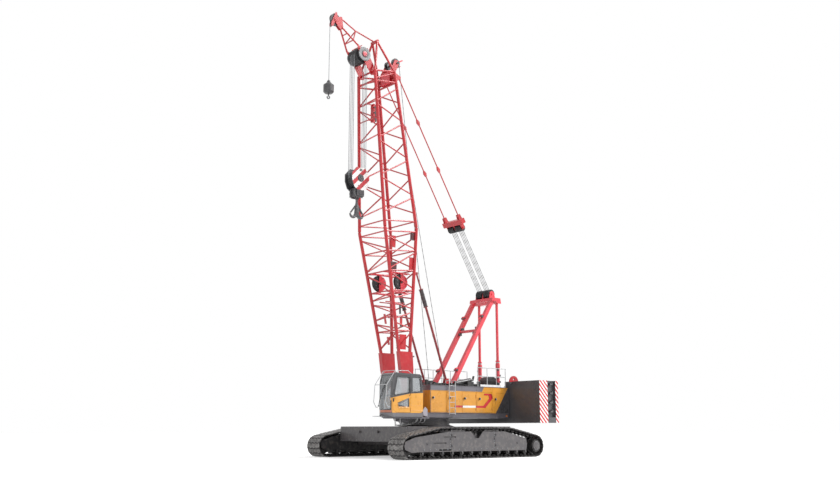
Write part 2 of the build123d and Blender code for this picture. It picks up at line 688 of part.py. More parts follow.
def make_seat():
    """The driver's seat: a base, a cushion and a back, in one simple closed form."""
    side = [(2450, 2060), (3000, 2060), (3000, 2250), (3060, 2480), (3060, 2560), (2640, 2540), (2480, 3150),
            (2360, 3130), (2420, 2500), (2450, 2300)]
    return prism(side, "y", 1290, 1760)


def make_cab_mount():
    """The bracket that carries the cab on the revolving frame's corner."""
    under = CAB_BOTTOM - 1
    tray = block(1500, 3700, 1040, 1950, 1900, under)
    arm = block(1401, 2600, 950, 998, 1900, DECK_TOP)
    shelf = block(1401, 2600, 950, 1045, 1900, under)
    post = block(2450, 2800, 1150, 1500, 1700, 1901)
    return join(tray, arm, shelf, post)


def make_cab_guards():
    """The bars that guard the windscreen and the roof's edge, and the step on the front."""
    bars = []
    for y in (1040, 1960):
        bars.append(pipe([(3640, y, 4085), (3700, y, 4190), (4220, y, 3500), (4290, y, 2680), (4150, y, 2440),
                          (4040, y, 2440)], GUARD))
    rail = pipe([(3600, 1960, 4080), (3560, 1960, 4180), (2880, 1960, 4200), (2640, 1960, 4050)], GUARD)
    across = [rod((x, 1040, z), (x, 1960, z), GUARD) for x, z in ((3700, 4190), (4220, 3500))]
    step = block(4040, 4380, 1080, 1500, 1985, 2015)
    guards = join(*bars, rail, *across) - cab_form(0)
    return guards, step - cab_form(0)


# Boom


def leg_outline():
    """One plated foot leg, from its eye to where the lattice starts."""
    x, z = FOOT_PIN
    return [
        (x - 200, z - 60), (x - 120, z - 190), (x, z - 230), (x + 120, z - 190), (x + 200, z - 60),
        (2395, 4350), (2530, LEG_TOP), (1650, LEG_TOP), (1580, 4350), (x - 215, 3700),
    ]


class Section:
    """A lattice section's four chords, which run from a low to a high point each."""

    def __init__(self, front, rear, half, levels, frames):
        self.corners = []
        for line, side in ((front, 1), (rear, 1), (rear, -1), (front, -1)):
            low, high = ((x, side * h, z) for (x, z), h in zip(line, half))
            self.corners.append((low, high))
        low, high = front[0][1], front[1][1]
        self.length = high - low
        self.levels = [(z - low) / self.length for z in levels]
        self.frames = [(z - low) / self.length for z in frames]

    def chord(self, corner):
        """One chord, a round tube."""
        return rod(*self.corners[corner], CHORD)

    def lacing(self, face):
        """The zigzag bars and the frame bars of the face between one corner and the next."""
        a, b = self.corners[face], self.corners[(face + 1) % 4]
        gap = LACING_OFFSET / self.length
        bars = []
        for k, (low, high) in enumerate(zip(self.levels, self.levels[1:])):
            here, there = (b, a) if k % 2 else (a, b)
            bars.append(rod(between(*here, low + gap), between(*there, high - gap), LACING, LACING_SIDES))
        bars += [rod(between(*a, share), between(*b, share), LACING, LACING_SIDES) for share in self.frames]
        return bars

    def side(self, *others):
        """The left side: its two chords, the lacing between them and what is joined to it."""
        return join(self.chord(0), self.chord(1), *self.lacing(0), *others)

    def cross_lacing(self):
        """The bars of the front and rear faces, cut to the chords' surfaces."""
        chords = [self.chord(corner) for corner in range(4)]
        return [bar - chords[face] - chords[(face + 1) % 4] for face in (1, 3) for bar in self.lacing(face)]


def along(line, distance):
    """A point in X and Z past the start of a line, towards its end."""
    return between(*line, distance / hypot(line[1][0] - line[0][0], line[1][1] - line[0][1]))


def joint_plate(line, back, ahead, y0, y1):
    """A plate on a chord's line about a joint's pin, from back behind the pin to ahead of it."""
    (x, z), tip = line[0], along(line, 1)
    ux, uz = tip[0] - x, tip[1] - z
    shape = [(-back, -62), (ahead - 25, -62), (ahead, -35), (ahead, 35), (ahead - 25, 62), (-back, 62)]
    points = [(x + a * ux + b * uz, z + a * uz - b * ux) for a, b in shape]
    return prism(points, "y", y0, y1)


def clevis(line, y):
    """Two ears with a pin through them, where line starts at the pin and leaves the chord."""
    ears = [joint_plate(line, JOINT_CLEAR + 20, 55, y + low, y + high) for low, high in ((-50.5, -20.5), (20.5, 50.5))]
    return join(*ears, axle(line[0], y - 62, y + 62, JOINT_PIN))


def tongue(line, y):
    """The eye between a clevis's ears."""
    return joint_plate(line, JOINT_CLEAR + 20, 55, y - 20, y + 20) - axle(line[0], y - 30, y + 30, JOINT_PIN + 0.5)


FOOT_FRONT_LINE = ((2450, LEG_TOP - 60), JOINT_FRONT)
FOOT_REAR_LINE = ((1730, LEG_TOP - 60), JOINT_REAR)
TOP_FRONT_LINE = (JOINT_FRONT, HEAD_FRONT)
TOP_REAR_LINE = (JOINT_REAR, HEAD_REAR)


def shortened(line, cut):
    """A line ended that distance before its end."""
    return line[0], along(line[::-1], cut)


def make_foot_section():
    """The boom's foot section: plated legs, chords and side lacing, and the lacing across the front and rear."""
    front, rear = shortened(FOOT_FRONT_LINE, JOINT_CLEAR), shortened(FOOT_REAR_LINE, JOINT_CLEAR)
    half = (LEG_HALF, JOINT_HALF - 4)
    section = Section(front, rear, half, FOOT_LEVELS, FOOT_FRAMES)
    joints = [clevis((line[1], (2 * line[1][0] - line[0][0], 2 * line[1][1] - line[0][1])), JOINT_HALF)
              for line in (FOOT_FRONT_LINE, FOOT_REAR_LINE)]
    side = section.side(prism(leg_outline(), "y", 600, 850), *joints)
    return both(side - axle(FOOT_PIN, -1000, 1000, 70 + RUNNING_GAP / 2)), section.cross_lacing()


def make_top_section():
    """The boom's tapering top section: chords and side lacing, and the lacing across the front and rear."""
    front, rear = (shortened(line[::-1], JOINT_CLEAR)[::-1] for line in (TOP_FRONT_LINE, TOP_REAR_LINE))
    section = Section(front, rear, (JOINT_HALF - 3, HEAD_HALF), TOP_LEVELS, TOP_FRAMES)
    joints = [tongue((line[0], (2 * line[0][0] - line[1][0], 2 * line[0][1] - line[1][1])), JOINT_HALF)
              for line in (TOP_FRONT_LINE, TOP_REAR_LINE)]
    return both(section.side(*joints)), section.cross_lacing()


NOSE = [(4000, 19740), (4230, 19680), (4830, 20560), (5100, 20900), (5130, 20990), (5060, 21050), (4960, 21030),
        (4600, 20860), (4300, 20600), (4100, 20300), (4000, 20100)]
JIB_ROOT = (5040, 20960)
REAR_PLATE = [(2640, 19620), (2900, 19620), (2920, 20300), (2700, 20700), (2560, 21040), (2330, 21040),
              (2290, 20800), (2520, 20300)]


def head_stub(line, reach):
    """The start and end of a left chord's run on past the top section."""
    low, high = shortened(line[::-1], JOINT_CLEAR)[::-1]
    low, high = (low[0], JOINT_HALF - 3, low[1]), (high[0], HEAD_HALF, high[1])
    return high, between(low, high, 1 + reach / hypot(high[0] - low[0], high[2] - low[2]))


def make_head():
    """The boom's head: chord stubs and rings, plates for the sheaves, lugs for the stays, and the mast."""
    front, rear = head_stub(TOP_FRONT_LINE, 800), head_stub(TOP_REAR_LINE, 860)
    stubs = [rod(*front, CHORD), rod(*rear, CHORD)]
    sides = [rod(between(*front, low), between(*rear, high), radius)
             for low, high, radius in ((0.24, 0.24, 50), (0.95, 0.95, 50), (0.4, 0.85, 40))]
    legs = [rod(between(*stub, 0.93), (MAST_TOP[0], 200, MAST_TOP[1]), 60) for stub in (front, rear)]
    nose = prism(NOSE, "y", 445, 480) - axle(JIB_ROOT, 400, 500, JOINT_PIN + 0.5)
    plate = prism(REAR_PLATE, "y", 360, 395)
    lugs = [prism([(2340, 19880), (2400, 19850), (2800, 19640), (2880, 20220), (2400, 20050), (2340, 20020)],
                  "y", PENDANT_HALF + low, PENDANT_HALF + high) for low, high in ((-80, -50), (50, 80))]
    ties = [axle((x, z), -half, half, 55) for (x, half, z) in
            (between(*front, 0.3), between(*front, 0.92), between(*rear, 0.24), between(*rear, 0.5),
             between(*rear, 0.92))]
    axles = [axle(MAIN_SHEAVES, -480, 480, 70), axle(REAR_SHEAVES, -395, 395, 50), axle(MAST_TOP, -260, 260, 90)]
    return join(*both(*stubs, *sides, *legs, nose, plate, *lugs), *ties, *axles)


def make_main_sheaves():
    """The row of sheaves for the main hook at the boom's head, with a closing disc at each end."""
    row = [sheave(MAIN_SHEAVES, y, MAIN_SHEAVE_RADIUS, 110, 70) for y in (-300, *FALL_LANES, 300)]
    discs = both(axle(MAIN_SHEAVES, 380, 430, 390) - axle(MAIN_SHEAVES, 300, 500, 70 + RUNNING_GAP))
    return row + discs


def make_rear_sheaves():
    """The deflection sheaves at the back of the head."""
    return [sheave(REAR_SHEAVES, y, 260, 100, 50) for y in (-300, 300)]


def make_tip_jib():
    """The short jib at the head, with its stay and the tip's cheek plates."""
    cheek = shifted([(-480, -400), (-300, -470), (60, -140), (175, -420), (290, -420), (290, -250), (150, 110),
                     (20, 420), (-50, 410), (-110, 170), (-350, 260), (-400, 180)], TIP_SHEAVES)
    end, pin = shifted([(-400, -340), (-340, 215)], TIP_SHEAVES)
    strut_top = (4950, 0, 22110)
    start = along((JIB_ROOT, end), 160)
    root_plate = joint_plate((JIB_ROOT, end), 70, 190, 484, 514)
    parts, chords = [], []
    for side in (-1, 1):
        chords.append(((start[0], side * 499, start[1]), (end[0], side * 90, end[1])))
        parts += [
            rod(*chords[-1], 45), prism(cheek, "y", side * 70, side * 95), rod(between(*chords[-1], 0.3), strut_top, 32),
            root_plate if side > 0 else mirrored(root_plate), axle(JIB_ROOT, side * 435, side * 530, JOINT_PIN),
        ]
    cross = [rod(*[between(*chord, share) for chord in chords], 32) for share in (0.3, 0.68)]
    pins = [axle(pin, -96, 96, 45), axle(TIP_SHEAVES, -120, 120, 50), axle(end, -96, 96, 60)]
    stay = [rod(strut_top, (pin[0], 0, pin[1]), 38), rod((MAST_TOP[0], 0, MAST_TOP[1]), strut_top, 38)]
    stay[1] -= axle(MAST_TOP, -200, 200, 90 + RUNNING_GAP)
    return join_in_turn(*parts, *cross, *pins, *stay)


def make_tip_sheave():
    """The sheave for the auxiliary hook's rope, and the small roller behind the rope."""
    return [sheave(TIP_SHEAVES, 0, TIP_SHEAVE_RADIUS, 100, 50), axle(shifted([(235, -360)], TIP_SHEAVES)[0], -68, 68, 55)]


# Luffing gear

STAY = Vector(PENDANT_EYE[0] - GANTRY_HEAD[0], 0, PENDANT_EYE[1] - GANTRY_HEAD[1])
STAY_LENGTH = STAY.length
STAY_DIR = STAY.normalized()
FALLS = (-450, -340, -230, -120, 130, 240, 350, 460)


def on_stay(distance, y=0, aside=0):
    """A point on the line from the gantry's sheaves to the boom's head, aside of it in the XZ plane."""
    base = Vector(GANTRY_HEAD[0], y, GANTRY_HEAD[1]) + STAY_DIR * distance
    return (base.X + aside * STAY_DIR.Z, base.Y, base.Z - aside * STAY_DIR.X)


def make_pendants():
    """The two stays from the bail to the boom's head, in links pinned end to end."""
    ends = (BAIL_AT + 700, STAY_LENGTH)
    joints = [BAIL_AT + 3500, BAIL_AT + 6300]
    stays = []
    for y in (-PENDANT_HALF, PENDANT_HALF):
        bar = rod(on_stay(ends[0], y), on_stay(ends[1], y), 32, LACING_SIDES)
        eyes = [rod(on_stay(at, y - 45), on_stay(at, y + 45), 90) for at in (*ends, *joints)]
        links = [stay_plate([(at - 170, -34), (at - 60, -75), (at + 60, -75), (at + 170, -34), (at + 170, 34),
                             (at + 60, 75), (at - 60, 75), (at - 170, 34)], y - 40, y + 40) for at in joints]
        stays.append(join(bar, *eyes, *links))
    return stays


def stay_plate(points, y0, y1):
    """A plate whose outline is given along the stay line and aside of it."""
    return prism([on_stay(at, 0, aside)[::2] for at, aside in points], "y", y0, y1)


def make_bail():
    """The floating bail: a cross beam, cheek plates for the sheaves below it and lugs for the stays above."""
    beam = stay_plate([(BAIL_AT + 220, -150), (BAIL_AT + 220, 150), (BAIL_AT + 500, 150), (BAIL_AT + 500, -150)],
                      -760, 760)
    cheeks = [stay_plate([(BAIL_AT - 80, -110), (BAIL_AT - 80, 110), (BAIL_AT + 240, 140), (BAIL_AT + 240, -140)],
                         y, y + 40) for y in (-560, -20, 520)]
    lugs = [stay_plate([(BAIL_AT + 480, -120), (BAIL_AT + 780, -80), (BAIL_AT + 780, 80), (BAIL_AT + 480, 120)],
                       y, y + 40) for base in (-PENDANT_HALF, PENDANT_HALF) for y in (base - 90, base + 50)]
    return join(beam, *cheeks, *lugs, rod(on_stay(BAIL_AT, -600), on_stay(BAIL_AT, 600), 60))


def make_bail_sheaves():
    """The sheaves of the luffing ropes on the bail."""
    return [sheave(on_stay(BAIL_AT)[::2], y, 200, 90, 60) for y in FALLS]


def make_falls(numbers, start, end):
    """Rope falls side by side along the stay line."""
    return [rod(on_stay(start, FALLS[i]), on_stay(end, FALLS[i]), 14, LACING_SIDES) for i in numbers]


# Backstops

BACKSTOP_LENGTH = hypot(BACKSTOP_EYE[0] - BACKSTOP_FOOT[0], BACKSTOP_EYE[1] - BACKSTOP_FOOT[1])


def on_backstop(distance, y):
    """A point on a backstop's line at a distance from its foot."""
    x, z = along((BACKSTOP_FOOT, BACKSTOP_EYE), distance)
    return (x, y, z)


def make_backstop_tube():
    """The left backstop's outer tube, with the spring housing at its top."""
    y = BACKSTOP_HALF
    outer = join(rod(on_backstop(0, y), on_backstop(3980, y), 62), rod(on_backstop(3980, y), on_backstop(4960, y), 105),
                 rod(on_backstop(3980, y), on_backstop(4010, y), 125),
                 rod(on_backstop(4930, y), on_backstop(4960, y), 125), axle(BACKSTOP_FOOT, y - 60, y + 60, 100))
    return outer - rod(on_backstop(1200, y), on_backstop(5000, y), 46)


def make_backstop_rod():
    """The left rod that slides in the tube, with the eye that meets the boom."""
    y = BACKSTOP_HALF
    return join(rod(on_backstop(1300, y), on_backstop(BACKSTOP_LENGTH, y), 42),
                axle(BACKSTOP_EYE, y - 40, y + 40, 75))


def make_backstop_foot():
    """The left bracket of two plates that carries a backstop's foot, on the girder and the house's roof."""
    x, z = BACKSTOP_FOOT
    feet = []
    for y, low in ((BACKSTOP_HALF - 110, GIRDER_TOP), (BACKSTOP_HALF + 68, HOUSE_TOP)):
        feet.append(prism([(x - 190, low), (x + 190, low), (x + 90, z + 90), (x - 90, z + 90)], "y", y, y + 42))
    return feet


# Hooks

FALL_X = MAIN_SHEAVES[0]
FALL_REACH = MAIN_SHEAVE_RADIUS - GROOVE + ROPE_SEAT
BLOCK_AXLE = BLOCK_TOP - 560
HOOK_TOP = BLOCK_TOP - 1505
HOOK_CENTRE = 12120


def make_main_falls():
    """The main hook's rope falls, in front of the sheaves and behind them."""
    return [rod((FALL_X + side * FALL_REACH, y, BLOCK_AXLE + 10), (FALL_X + side * FALL_REACH, y, MAIN_SHEAVES[1] - 10),
                ROPE - 1, LACING_SIDES) for side in (-1, 1) for y in FALL_LANES]


def make_hook_block():
    """The hook block: cheek plates round the sheaves' axle, and the lower yoke."""
    x, z = FALL_X, BLOCK_TOP
    cheek = [(x - 540, z - 330), (x - 250, z), (x + 250, z), (x + 540, z - 330), (x + 540, z - 700), (x + 400, z - 1060),
             (x + 220, z - 1180), (x - 220, z - 1180), (x - 400, z - 1060), (x - 540, z - 700)]
    cheeks = both(prism(cheek, "y", 270, 330), axle((x, BLOCK_AXLE), 330, 352, 150))
    pin = axle((x, BLOCK_AXLE), -271, 271, 70)
    yoke = block(x - 200, x + 200, -271, 271, z - 1500, z - 1050)
    ends = both(block(x - 220, x + 220, 270, 330, z - 1500, z - 1129), axle((x, z - 1320), 330, 350, 110))
    return join(*cheeks, pin, yoke, *ends)


def make_block_sheaves():
    """The sheaves in the hook block."""
    return [sheave((FALL_X, BLOCK_AXLE), y, MAIN_SHEAVE_RADIUS, 110, 70) for y in FALL_LANES]


def ring_sector(centre, inner, outer, start, end, half):
    """A flat curved bar about a centre in X and Z, between two angles from +X towards +Z."""
    steps = max(4, round(abs(end - start) / 15))
    turns = [radians(start + (end - start) * i / steps) for i in range(steps + 1)]
    arcs = [[(centre[0] + r * cos(t), centre[1] + r * sin(t)) for t in turns] for r in (outer, inner)]
    return prism(arcs[0] + arcs[1][::-1], "y", -half, half)


def make_main_hook():
    """The double hook: a round shank and two horns that curve up on either side."""
    x, z, size = FALL_X, HOOK_CENTRE, 445
    horns = [ring_sector((x + side * size / 2, z), 0.27 * size, 0.5 * size, *turn, 70)
             for side, turn in ((1, (180, 400)), (-1, (0, -220)))]
    middle = block(x - 0.3 * size, x + 0.3 * size, -70, 70, z - 0.44 * size, z + 60)
    return join(*horns, middle, rod((x, 0, z + 20), (x, 0, HOOK_TOP), 95))


AUX_X = TIP_SHEAVES[0] + TIP_SHEAVE_RADIUS - GROOVE + ROPE_SEAT
AUX_BOTTOM = AUX_TOP - 745


def make_aux_hook():
    """The single hook under the ball weight."""
    hook = ring_sector((AUX_X, AUX_BOTTOM - 170), 52, 95, 90, 385, 25)
    return join(hook, rod((AUX_X, 0, AUX_BOTTOM - 110), (AUX_X, 0, AUX_BOTTOM), 30))


def make_aux_rope():
    """The auxiliary hook's single rope."""
    return rod((AUX_X, 0, AUX_TOP), (AUX_X, 0, TIP_SHEAVES[1] - 10), ROPE - 1, LACING_SIDES)


def make_aux_ball():
    """The weight on the auxiliary rope."""
    profile = [(0, 0), (60, 0), (120, -130), (270, -260), (270, -620), (200, -700), (60, -740), (0, -740)]
    face = make_face(Polyline(*[(AUX_X + r, 0, AUX_TOP - 1 + v) for r, v in profile], close=True))
    return revolve(face, axis=Axis((AUX_X, 0, 0), (0, 0, 1)))


# Nodes


def save_carrier():
    """The carrier's nodes: the tracks, their frames and wheels, the carbody and its weights."""
    track, frame = make_track(), make_track_frame()
    wheels = [*make_rollers(), make_end_wheel(1), make_drive_wheel()]
    for side, turn in SIDES:
        save(f"{side}_track", turn(track))
        save(f"{side}_track_frame", turn(frame))
        save(f"{side}_track_wheels", *[turn(wheel) for wheel in wheels])
    save("carbody", make_carbody())
    save("carrier_weights", make_carrier_weight(1), make_carrier_weight(-1))


def save_upperworks():
    """The nodes that turn on the slewing ring, but for the cab."""
    save("left_house", make_house())
    save("right_house", make_right_house())
    for number, index in enumerate(DOOR_PANELS, 1):
        door = make_door(index)
        for side, turn in SIDES:
            save(f"{side}_house_door_{number}", turn(door))
    save("slew_ring", make_slew_ring())
    save("revolving_frame", make_revolving_frame())
    save("boom_foot_pins", *make_boom_pins())
    save("side_lamps", *make_side_lamps())
    save("engine", make_engine())
    save("counterweight_tray", make_counterweight_tray())
    save("counterweight_slabs", *both(make_counterweight_stack()), make_counterweight_centre())
    save("gantry_legs", *make_gantry_legs())
    save("gantry_head", make_gantry_head())
    save("gantry_sheaves", *make_gantry_sheaves())
    save("winches", *[make_winch(*size) for size in WINCHES])
    save("deck_machinery", *make_deck_machinery())
    save("deck_rails", make_railing(-4400, -2300, HOUSE_HALF - 50), make_railing(-4500, -600, 50 - HOUSE_HALF),
         make_ladder())
    save("backstop_feet", *both(*make_backstop_foot()))


def save_cab():
    """The cab's nodes."""
    save("cab_shell", make_cab_shell())
    save("cab_glass", *make_cab_glass())
    save("cab_door", make_cab_door())
    save("cab_door_glass", *make_door_glass())
    save("driver_seat", make_seat())
    save("cab_mount", make_cab_mount())
    save("cab_guards", *make_cab_guards())


def save_boom():
    """The boom's nodes."""
    for name, make in (("foot", make_foot_section), ("top", make_top_section)):
        sides, lacing = make()
        save(f"boom_{name}_sides", *sides)
        save(f"boom_{name}_cross_lacing", *lacing)
    save("boom_head", make_head())
    save("boom_sheaves", *make_main_sheaves(), *make_rear_sheaves(), *make_tip_sheave())
    save("tip_jib", make_tip_jib())


def save_rigging():
    """The nodes of the luffing gear, the backstops and the hooks."""
    save("pendants", *make_pendants())
    save("bail", make_bail())
    save("bail_sheaves", *make_bail_sheaves())
    save("luffing_falls_lower", *make_falls((0, 2, 5, 7), 330, BAIL_AT - 330))
    save("luffing_falls_upper", *make_falls((1, 3, 4, 6), 330, BAIL_AT - 260))
    save("backstop_tubes", *both(make_backstop_tube()))
    save("backstop_rods", *both(make_backstop_rod()))
    save("main_falls", *make_main_falls())
    save("hook_block", make_hook_block())
    save("hook_block_sheaves", *make_block_sheaves())
    save("main_hook", make_main_hook())
    save("aux_rope", make_aux_rope())
    save("aux_ball", make_aux_ball())
    save("aux_hook", make_aux_hook())


SIDES = (("left", lambda shape: shape), ("right", mirrored))


def main():
    """Writes every node's STEP file."""
    os.makedirs("parts", exist_ok=True)
    save_carrier()
    save_upperworks()
    save_cab()
    save_boom()
    save_rigging()
    print("stay length", round(STAY_LENGTH), "direction", tuple(STAY_DIR))


if __name__ == "__main__":
    main()
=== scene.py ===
# %% [markdown]
# # A crawler crane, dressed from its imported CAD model
# The solids come from the CAD step and stay where they are. This file adds what makes them look real: the camera
# and light, the paints and metals, and the small pieces that a solid model leaves out, such as bolts, ropes and
# lamps. Lengths are in metres: +X is forward, +Y the cab's side, and +Z up.

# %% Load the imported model
from math import atan2, cos, pi, radians, sin, sqrt
import bmesh
import bpy
from mathutils import Matrix, Vector


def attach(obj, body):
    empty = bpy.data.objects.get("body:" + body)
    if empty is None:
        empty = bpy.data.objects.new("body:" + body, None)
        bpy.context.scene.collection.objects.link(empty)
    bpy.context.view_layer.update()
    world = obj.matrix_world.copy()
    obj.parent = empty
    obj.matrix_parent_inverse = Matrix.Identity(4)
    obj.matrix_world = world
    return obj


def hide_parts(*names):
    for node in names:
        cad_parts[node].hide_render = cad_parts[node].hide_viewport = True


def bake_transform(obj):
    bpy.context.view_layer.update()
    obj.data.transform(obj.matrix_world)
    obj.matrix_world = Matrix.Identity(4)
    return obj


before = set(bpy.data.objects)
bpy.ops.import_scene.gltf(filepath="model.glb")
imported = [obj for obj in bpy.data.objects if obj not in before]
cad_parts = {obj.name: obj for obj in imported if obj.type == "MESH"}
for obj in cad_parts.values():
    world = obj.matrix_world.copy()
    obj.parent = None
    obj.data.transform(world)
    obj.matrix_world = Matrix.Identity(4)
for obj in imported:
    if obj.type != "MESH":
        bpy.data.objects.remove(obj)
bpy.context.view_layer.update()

# %% [markdown]
# ## The camera
# The photograph was taken near the ground, off the crane's left front corner, with the lens tilted up a little.
# A camera can be placed by eye, or worked out from edges that are parallel on the real machine. The long edges of
# the tracks, the house and the boom give three directions here, so its place and lens were solved from them.

# %% The camera's place and lens
CAMERA_AT = Vector((31.923, 36.236, 1.408))
CAMERA_RIGHT = Vector((-0.75456, 0.65623, 0))
CAMERA_UP = Vector((0.13353, 0.15354, 0.97908))
LENS_MM = 38.955

camera_data = bpy.data.cameras.new("camera")
camera_data.sensor_width = 36
camera_data.lens = LENS_MM
camera_data.clip_end = 500
camera = bpy.data.objects.new("camera", camera_data)
turn = Matrix((CAMERA_RIGHT, CAMERA_UP, CAMERA_RIGHT.cross(CAMERA_UP))).transposed()
camera.matrix_world = Matrix.Translation(CAMERA_AT) @ turn.to_4x4()
bpy.context.scene.collection.objects.link(camera)
bpy.context.scene.camera = camera
print("camera at", tuple(CAMERA_AT))

# %% [markdown]
# ## Colours and nodes
# Paint charts and screens give colours as sRGB hex values, but a shader mixes light, which adds up in linear
# values. One function turns the first into the second. Another adds one node with its settings and links, so that
# each material below reads as a list of what it is made of.

# %% Two helpers for every material
def linear(hex_colour):
    """An sRGB colour such as #c01820 as linear red, green, blue and alpha."""
    parts = [int(hex_colour[i:i + 2], 16) / 255 for i in (1, 3, 5)]
    return (*[c / 12.92 if c <= 0.04045 else ((c + 0.055) / 1.055) ** 2.4 for c in parts], 1)


def add_node(tree, kind, inputs=None, **settings):
    """Adds a node; each input takes a value or another node's output."""
    node = tree.nodes.new(kind)
    for name, value in settings.items():
        setattr(node, name, value)
    for key, value in (inputs or {}).items():
        if isinstance(value, bpy.types.NodeSocket):
            tree.links.new(value, node.inputs[key])
        else:
            node.inputs[key].default_value = value
    return node


print("enamel red in linear values", linear("#d0202a")[:3])

# %% [markdown]
# ## The studio
# The photograph has no horizon: a white floor runs into a white background, with a soft shadow under the tracks.
# The world is plain white where the camera, glass and metal see it, and a dimmer white where it lights the crane.
# A broad sun from behind the cab's side gives the boom its pale and deep sides. The floor is matt, with a little
# light of its own in the same three kinds of ray, so that it stays near white and still shows the shadow.

# %% Soft light and a white floor
SKY_LIGHT = 0.4
SUN_STRENGTH = 3.7
FLOOR_GLOW = 0.42


def seen_directly(tree):
    """1 for rays from the camera, from gloss and through glass, and 0 for rays that carry light."""
    path = add_node(tree, "ShaderNodeLightPath")
    either = add_node(tree, "ShaderNodeMath", {0: path.outputs["Is Camera Ray"], 1: path.outputs["Is Glossy Ray"]},
                      operation="MAXIMUM")
    return add_node(tree, "ShaderNodeMath", {0: either.outputs[0], 1: path.outputs["Is Transmission Ray"]},
                    operation="MAXIMUM").outputs[0]


def make_world():
    """A white sky that lights the crane a little less than it shows."""
    world = bpy.data.worlds.new("studio_sky")
    world.use_nodes = True
    tree = world.node_tree
    tree.nodes.clear()
    strength = add_node(tree, "ShaderNodeMapRange", {"Value": seen_directly(tree), "To Min": SKY_LIGHT, "To Max": 1.0})
    sky = add_node(tree, "ShaderNodeBackground", {"Color": (1, 1, 1, 1), "Strength": strength.outputs[0]})
    add_node(tree, "ShaderNodeOutputWorld", {"Surface": sky.outputs[0]})
    bpy.context.scene.world = world


def make_floor():
    """A wide matt floor a hair below the tracks."""
    mesh = bpy.data.meshes.new("studio_floor")
    size = 220
    mesh.from_pydata([(-size, -size, -0.004), (size, -size, -0.004), (size, size, -0.004), (-size, size, -0.004)],
                     [], [(0, 1, 2, 3)])
    material = bpy.data.materials.new("matt_white_floor")
    material.use_nodes = True
    tree = material.node_tree
    tree.nodes.clear()
    matt = add_node(tree, "ShaderNodeBsdfDiffuse", {"Color": linear("#f4f4f4")})
    glow = add_node(tree, "ShaderNodeMath", {0: seen_directly(tree), 1: FLOOR_GLOW}, operation="MULTIPLY")
    shine = add_node(tree, "ShaderNodeEmission", {"Strength": glow.outputs[0]})
    both = add_node(tree, "ShaderNodeAddShader", {0: matt.outputs[0], 1: shine.outputs[0]})
    add_node(tree, "ShaderNodeOutputMaterial", {"Surface": both.outputs[0]})
    mesh.materials.append(material)
    floor = bpy.data.objects.new("studio_floor", mesh)
    bpy.context.scene.collection.objects.link(floor)


def make_sun(name, towards, strength, spread):
    """A sun lamp that shines towards a direction, with soft shadows."""
    lamp = bpy.data.lights.new(name, "SUN")
    lamp.energy = strength
    lamp.angle = radians(spread)
    sun = bpy.data.objects.new(name, lamp)
    sun.rotation_euler = Vector(towards).to_track_quat("-Z", "Y").to_euler()
    bpy.context.scene.collection.objects.link(sun)


bpy.context.scene.view_settings.view_transform = "Standard"
make_world()
make_floor()
make_sun("broad_key_light", (0.62, -0.55, -0.75), SUN_STRENGTH, 35)
make_sun("front_fill_light", (-0.8, -0.45, -0.35), 0.5, 60)
print("floor and lights placed")

# %% [markdown]
# ## The shape of a paint finish
# Machine enamel is sprayed in two coats over steel. Close up it has a faint orange peel about 12 mm across, its
# tone drifts over half a metre, and dust settles in patches. A flat colour shows none of that and looks like
# plastic. So each enamel starts from one function: two noise patterns, one for tone and dust and one for the
# peel, both on Object coordinates, so that they stay with the steel when it moves.

# %% Enamel on steel
PEEL_MM = 12
PATCH_MM = 450
STREAK_MM = 160


def start_material(name):
    """A new material with an empty tree, and its Object coordinates."""
    material = bpy.data.materials.new(name)
    material.use_nodes = True
    material.node_tree.nodes.clear()
    place = add_node(material.node_tree, "ShaderNodeTexCoord").outputs["Object"]
    return material, material.node_tree, place


def end_material(material, inputs):
    """Ends a material's tree with one shader of these inputs."""
    shader = add_node(material.node_tree, "ShaderNodeBsdfPrincipled", inputs)
    add_node(material.node_tree, "ShaderNodeOutputMaterial", {"Surface": shader.outputs[0]})
    return material


def patches(tree, place, size_mm, detail=3.0):
    """A soft noise whose patches are about that many millimetres across."""
    noise = add_node(tree, "ShaderNodeTexNoise", {"Vector": place, "Scale": 1000 / size_mm, "Detail": detail})
    return noise.outputs["Fac"]


def mixed(tree, share, low, high, blend="MIX"):
    """A colour between two others, or one laid over another."""
    node = add_node(tree, "ShaderNodeMix", {"Factor": share, 6: low, 7: high}, data_type="RGBA", blend_type=blend)
    return node.outputs[2]


def scaled(tree, value, low, high, start=0.0, end=1.0):
    """A value taken from one range to another, and kept inside it."""
    return add_node(tree, "ShaderNodeMapRange", {"Value": value, "From Min": start, "From Max": end, "To Min": low,
                                                 "To Max": high}).outputs[0]


def finish_enamel(material, place, colour, roughness=0.38, dust=0.18, coat=0.25):
    """Ends a paint's tree: tone, dust, orange peel and gloss over its colour."""
    tree = material.node_tree
    tone = patches(tree, place, PATCH_MM)
    shade = scaled(tree, tone, 0.9, 1.06, 0.3, 0.7)
    toned = add_node(tree, "ShaderNodeVectorMath", {0: colour, "Scale": shade}, operation="SCALE").outputs[0]
    film = scaled(tree, patches(tree, place, STREAK_MM, 6.0), 0, dust, 0.48, 0.8)
    dusty = mixed(tree, film, toned, linear("#a39c92"))
    gloss = scaled(tree, tone, roughness - 0.06, roughness + 0.1, 0.3, 0.7)
    peel = add_node(tree, "ShaderNodeBump", {"Height": patches(tree, place, PEEL_MM, 1.0), "Strength": 0.06,
                                             "Distance": 0.004})
    return end_material(material, {"Base Color": dusty, "Roughness": gloss, "Normal": peel.outputs[0],
                                   "Coat Weight": coat, "Coat Roughness": 0.12})


def enamel(name, hex_colour, **finish):
    """A sprayed enamel of one colour."""
    material, _, place = start_material(name)
    return finish_enamel(material, place, linear(hex_colour)[:3], **finish)


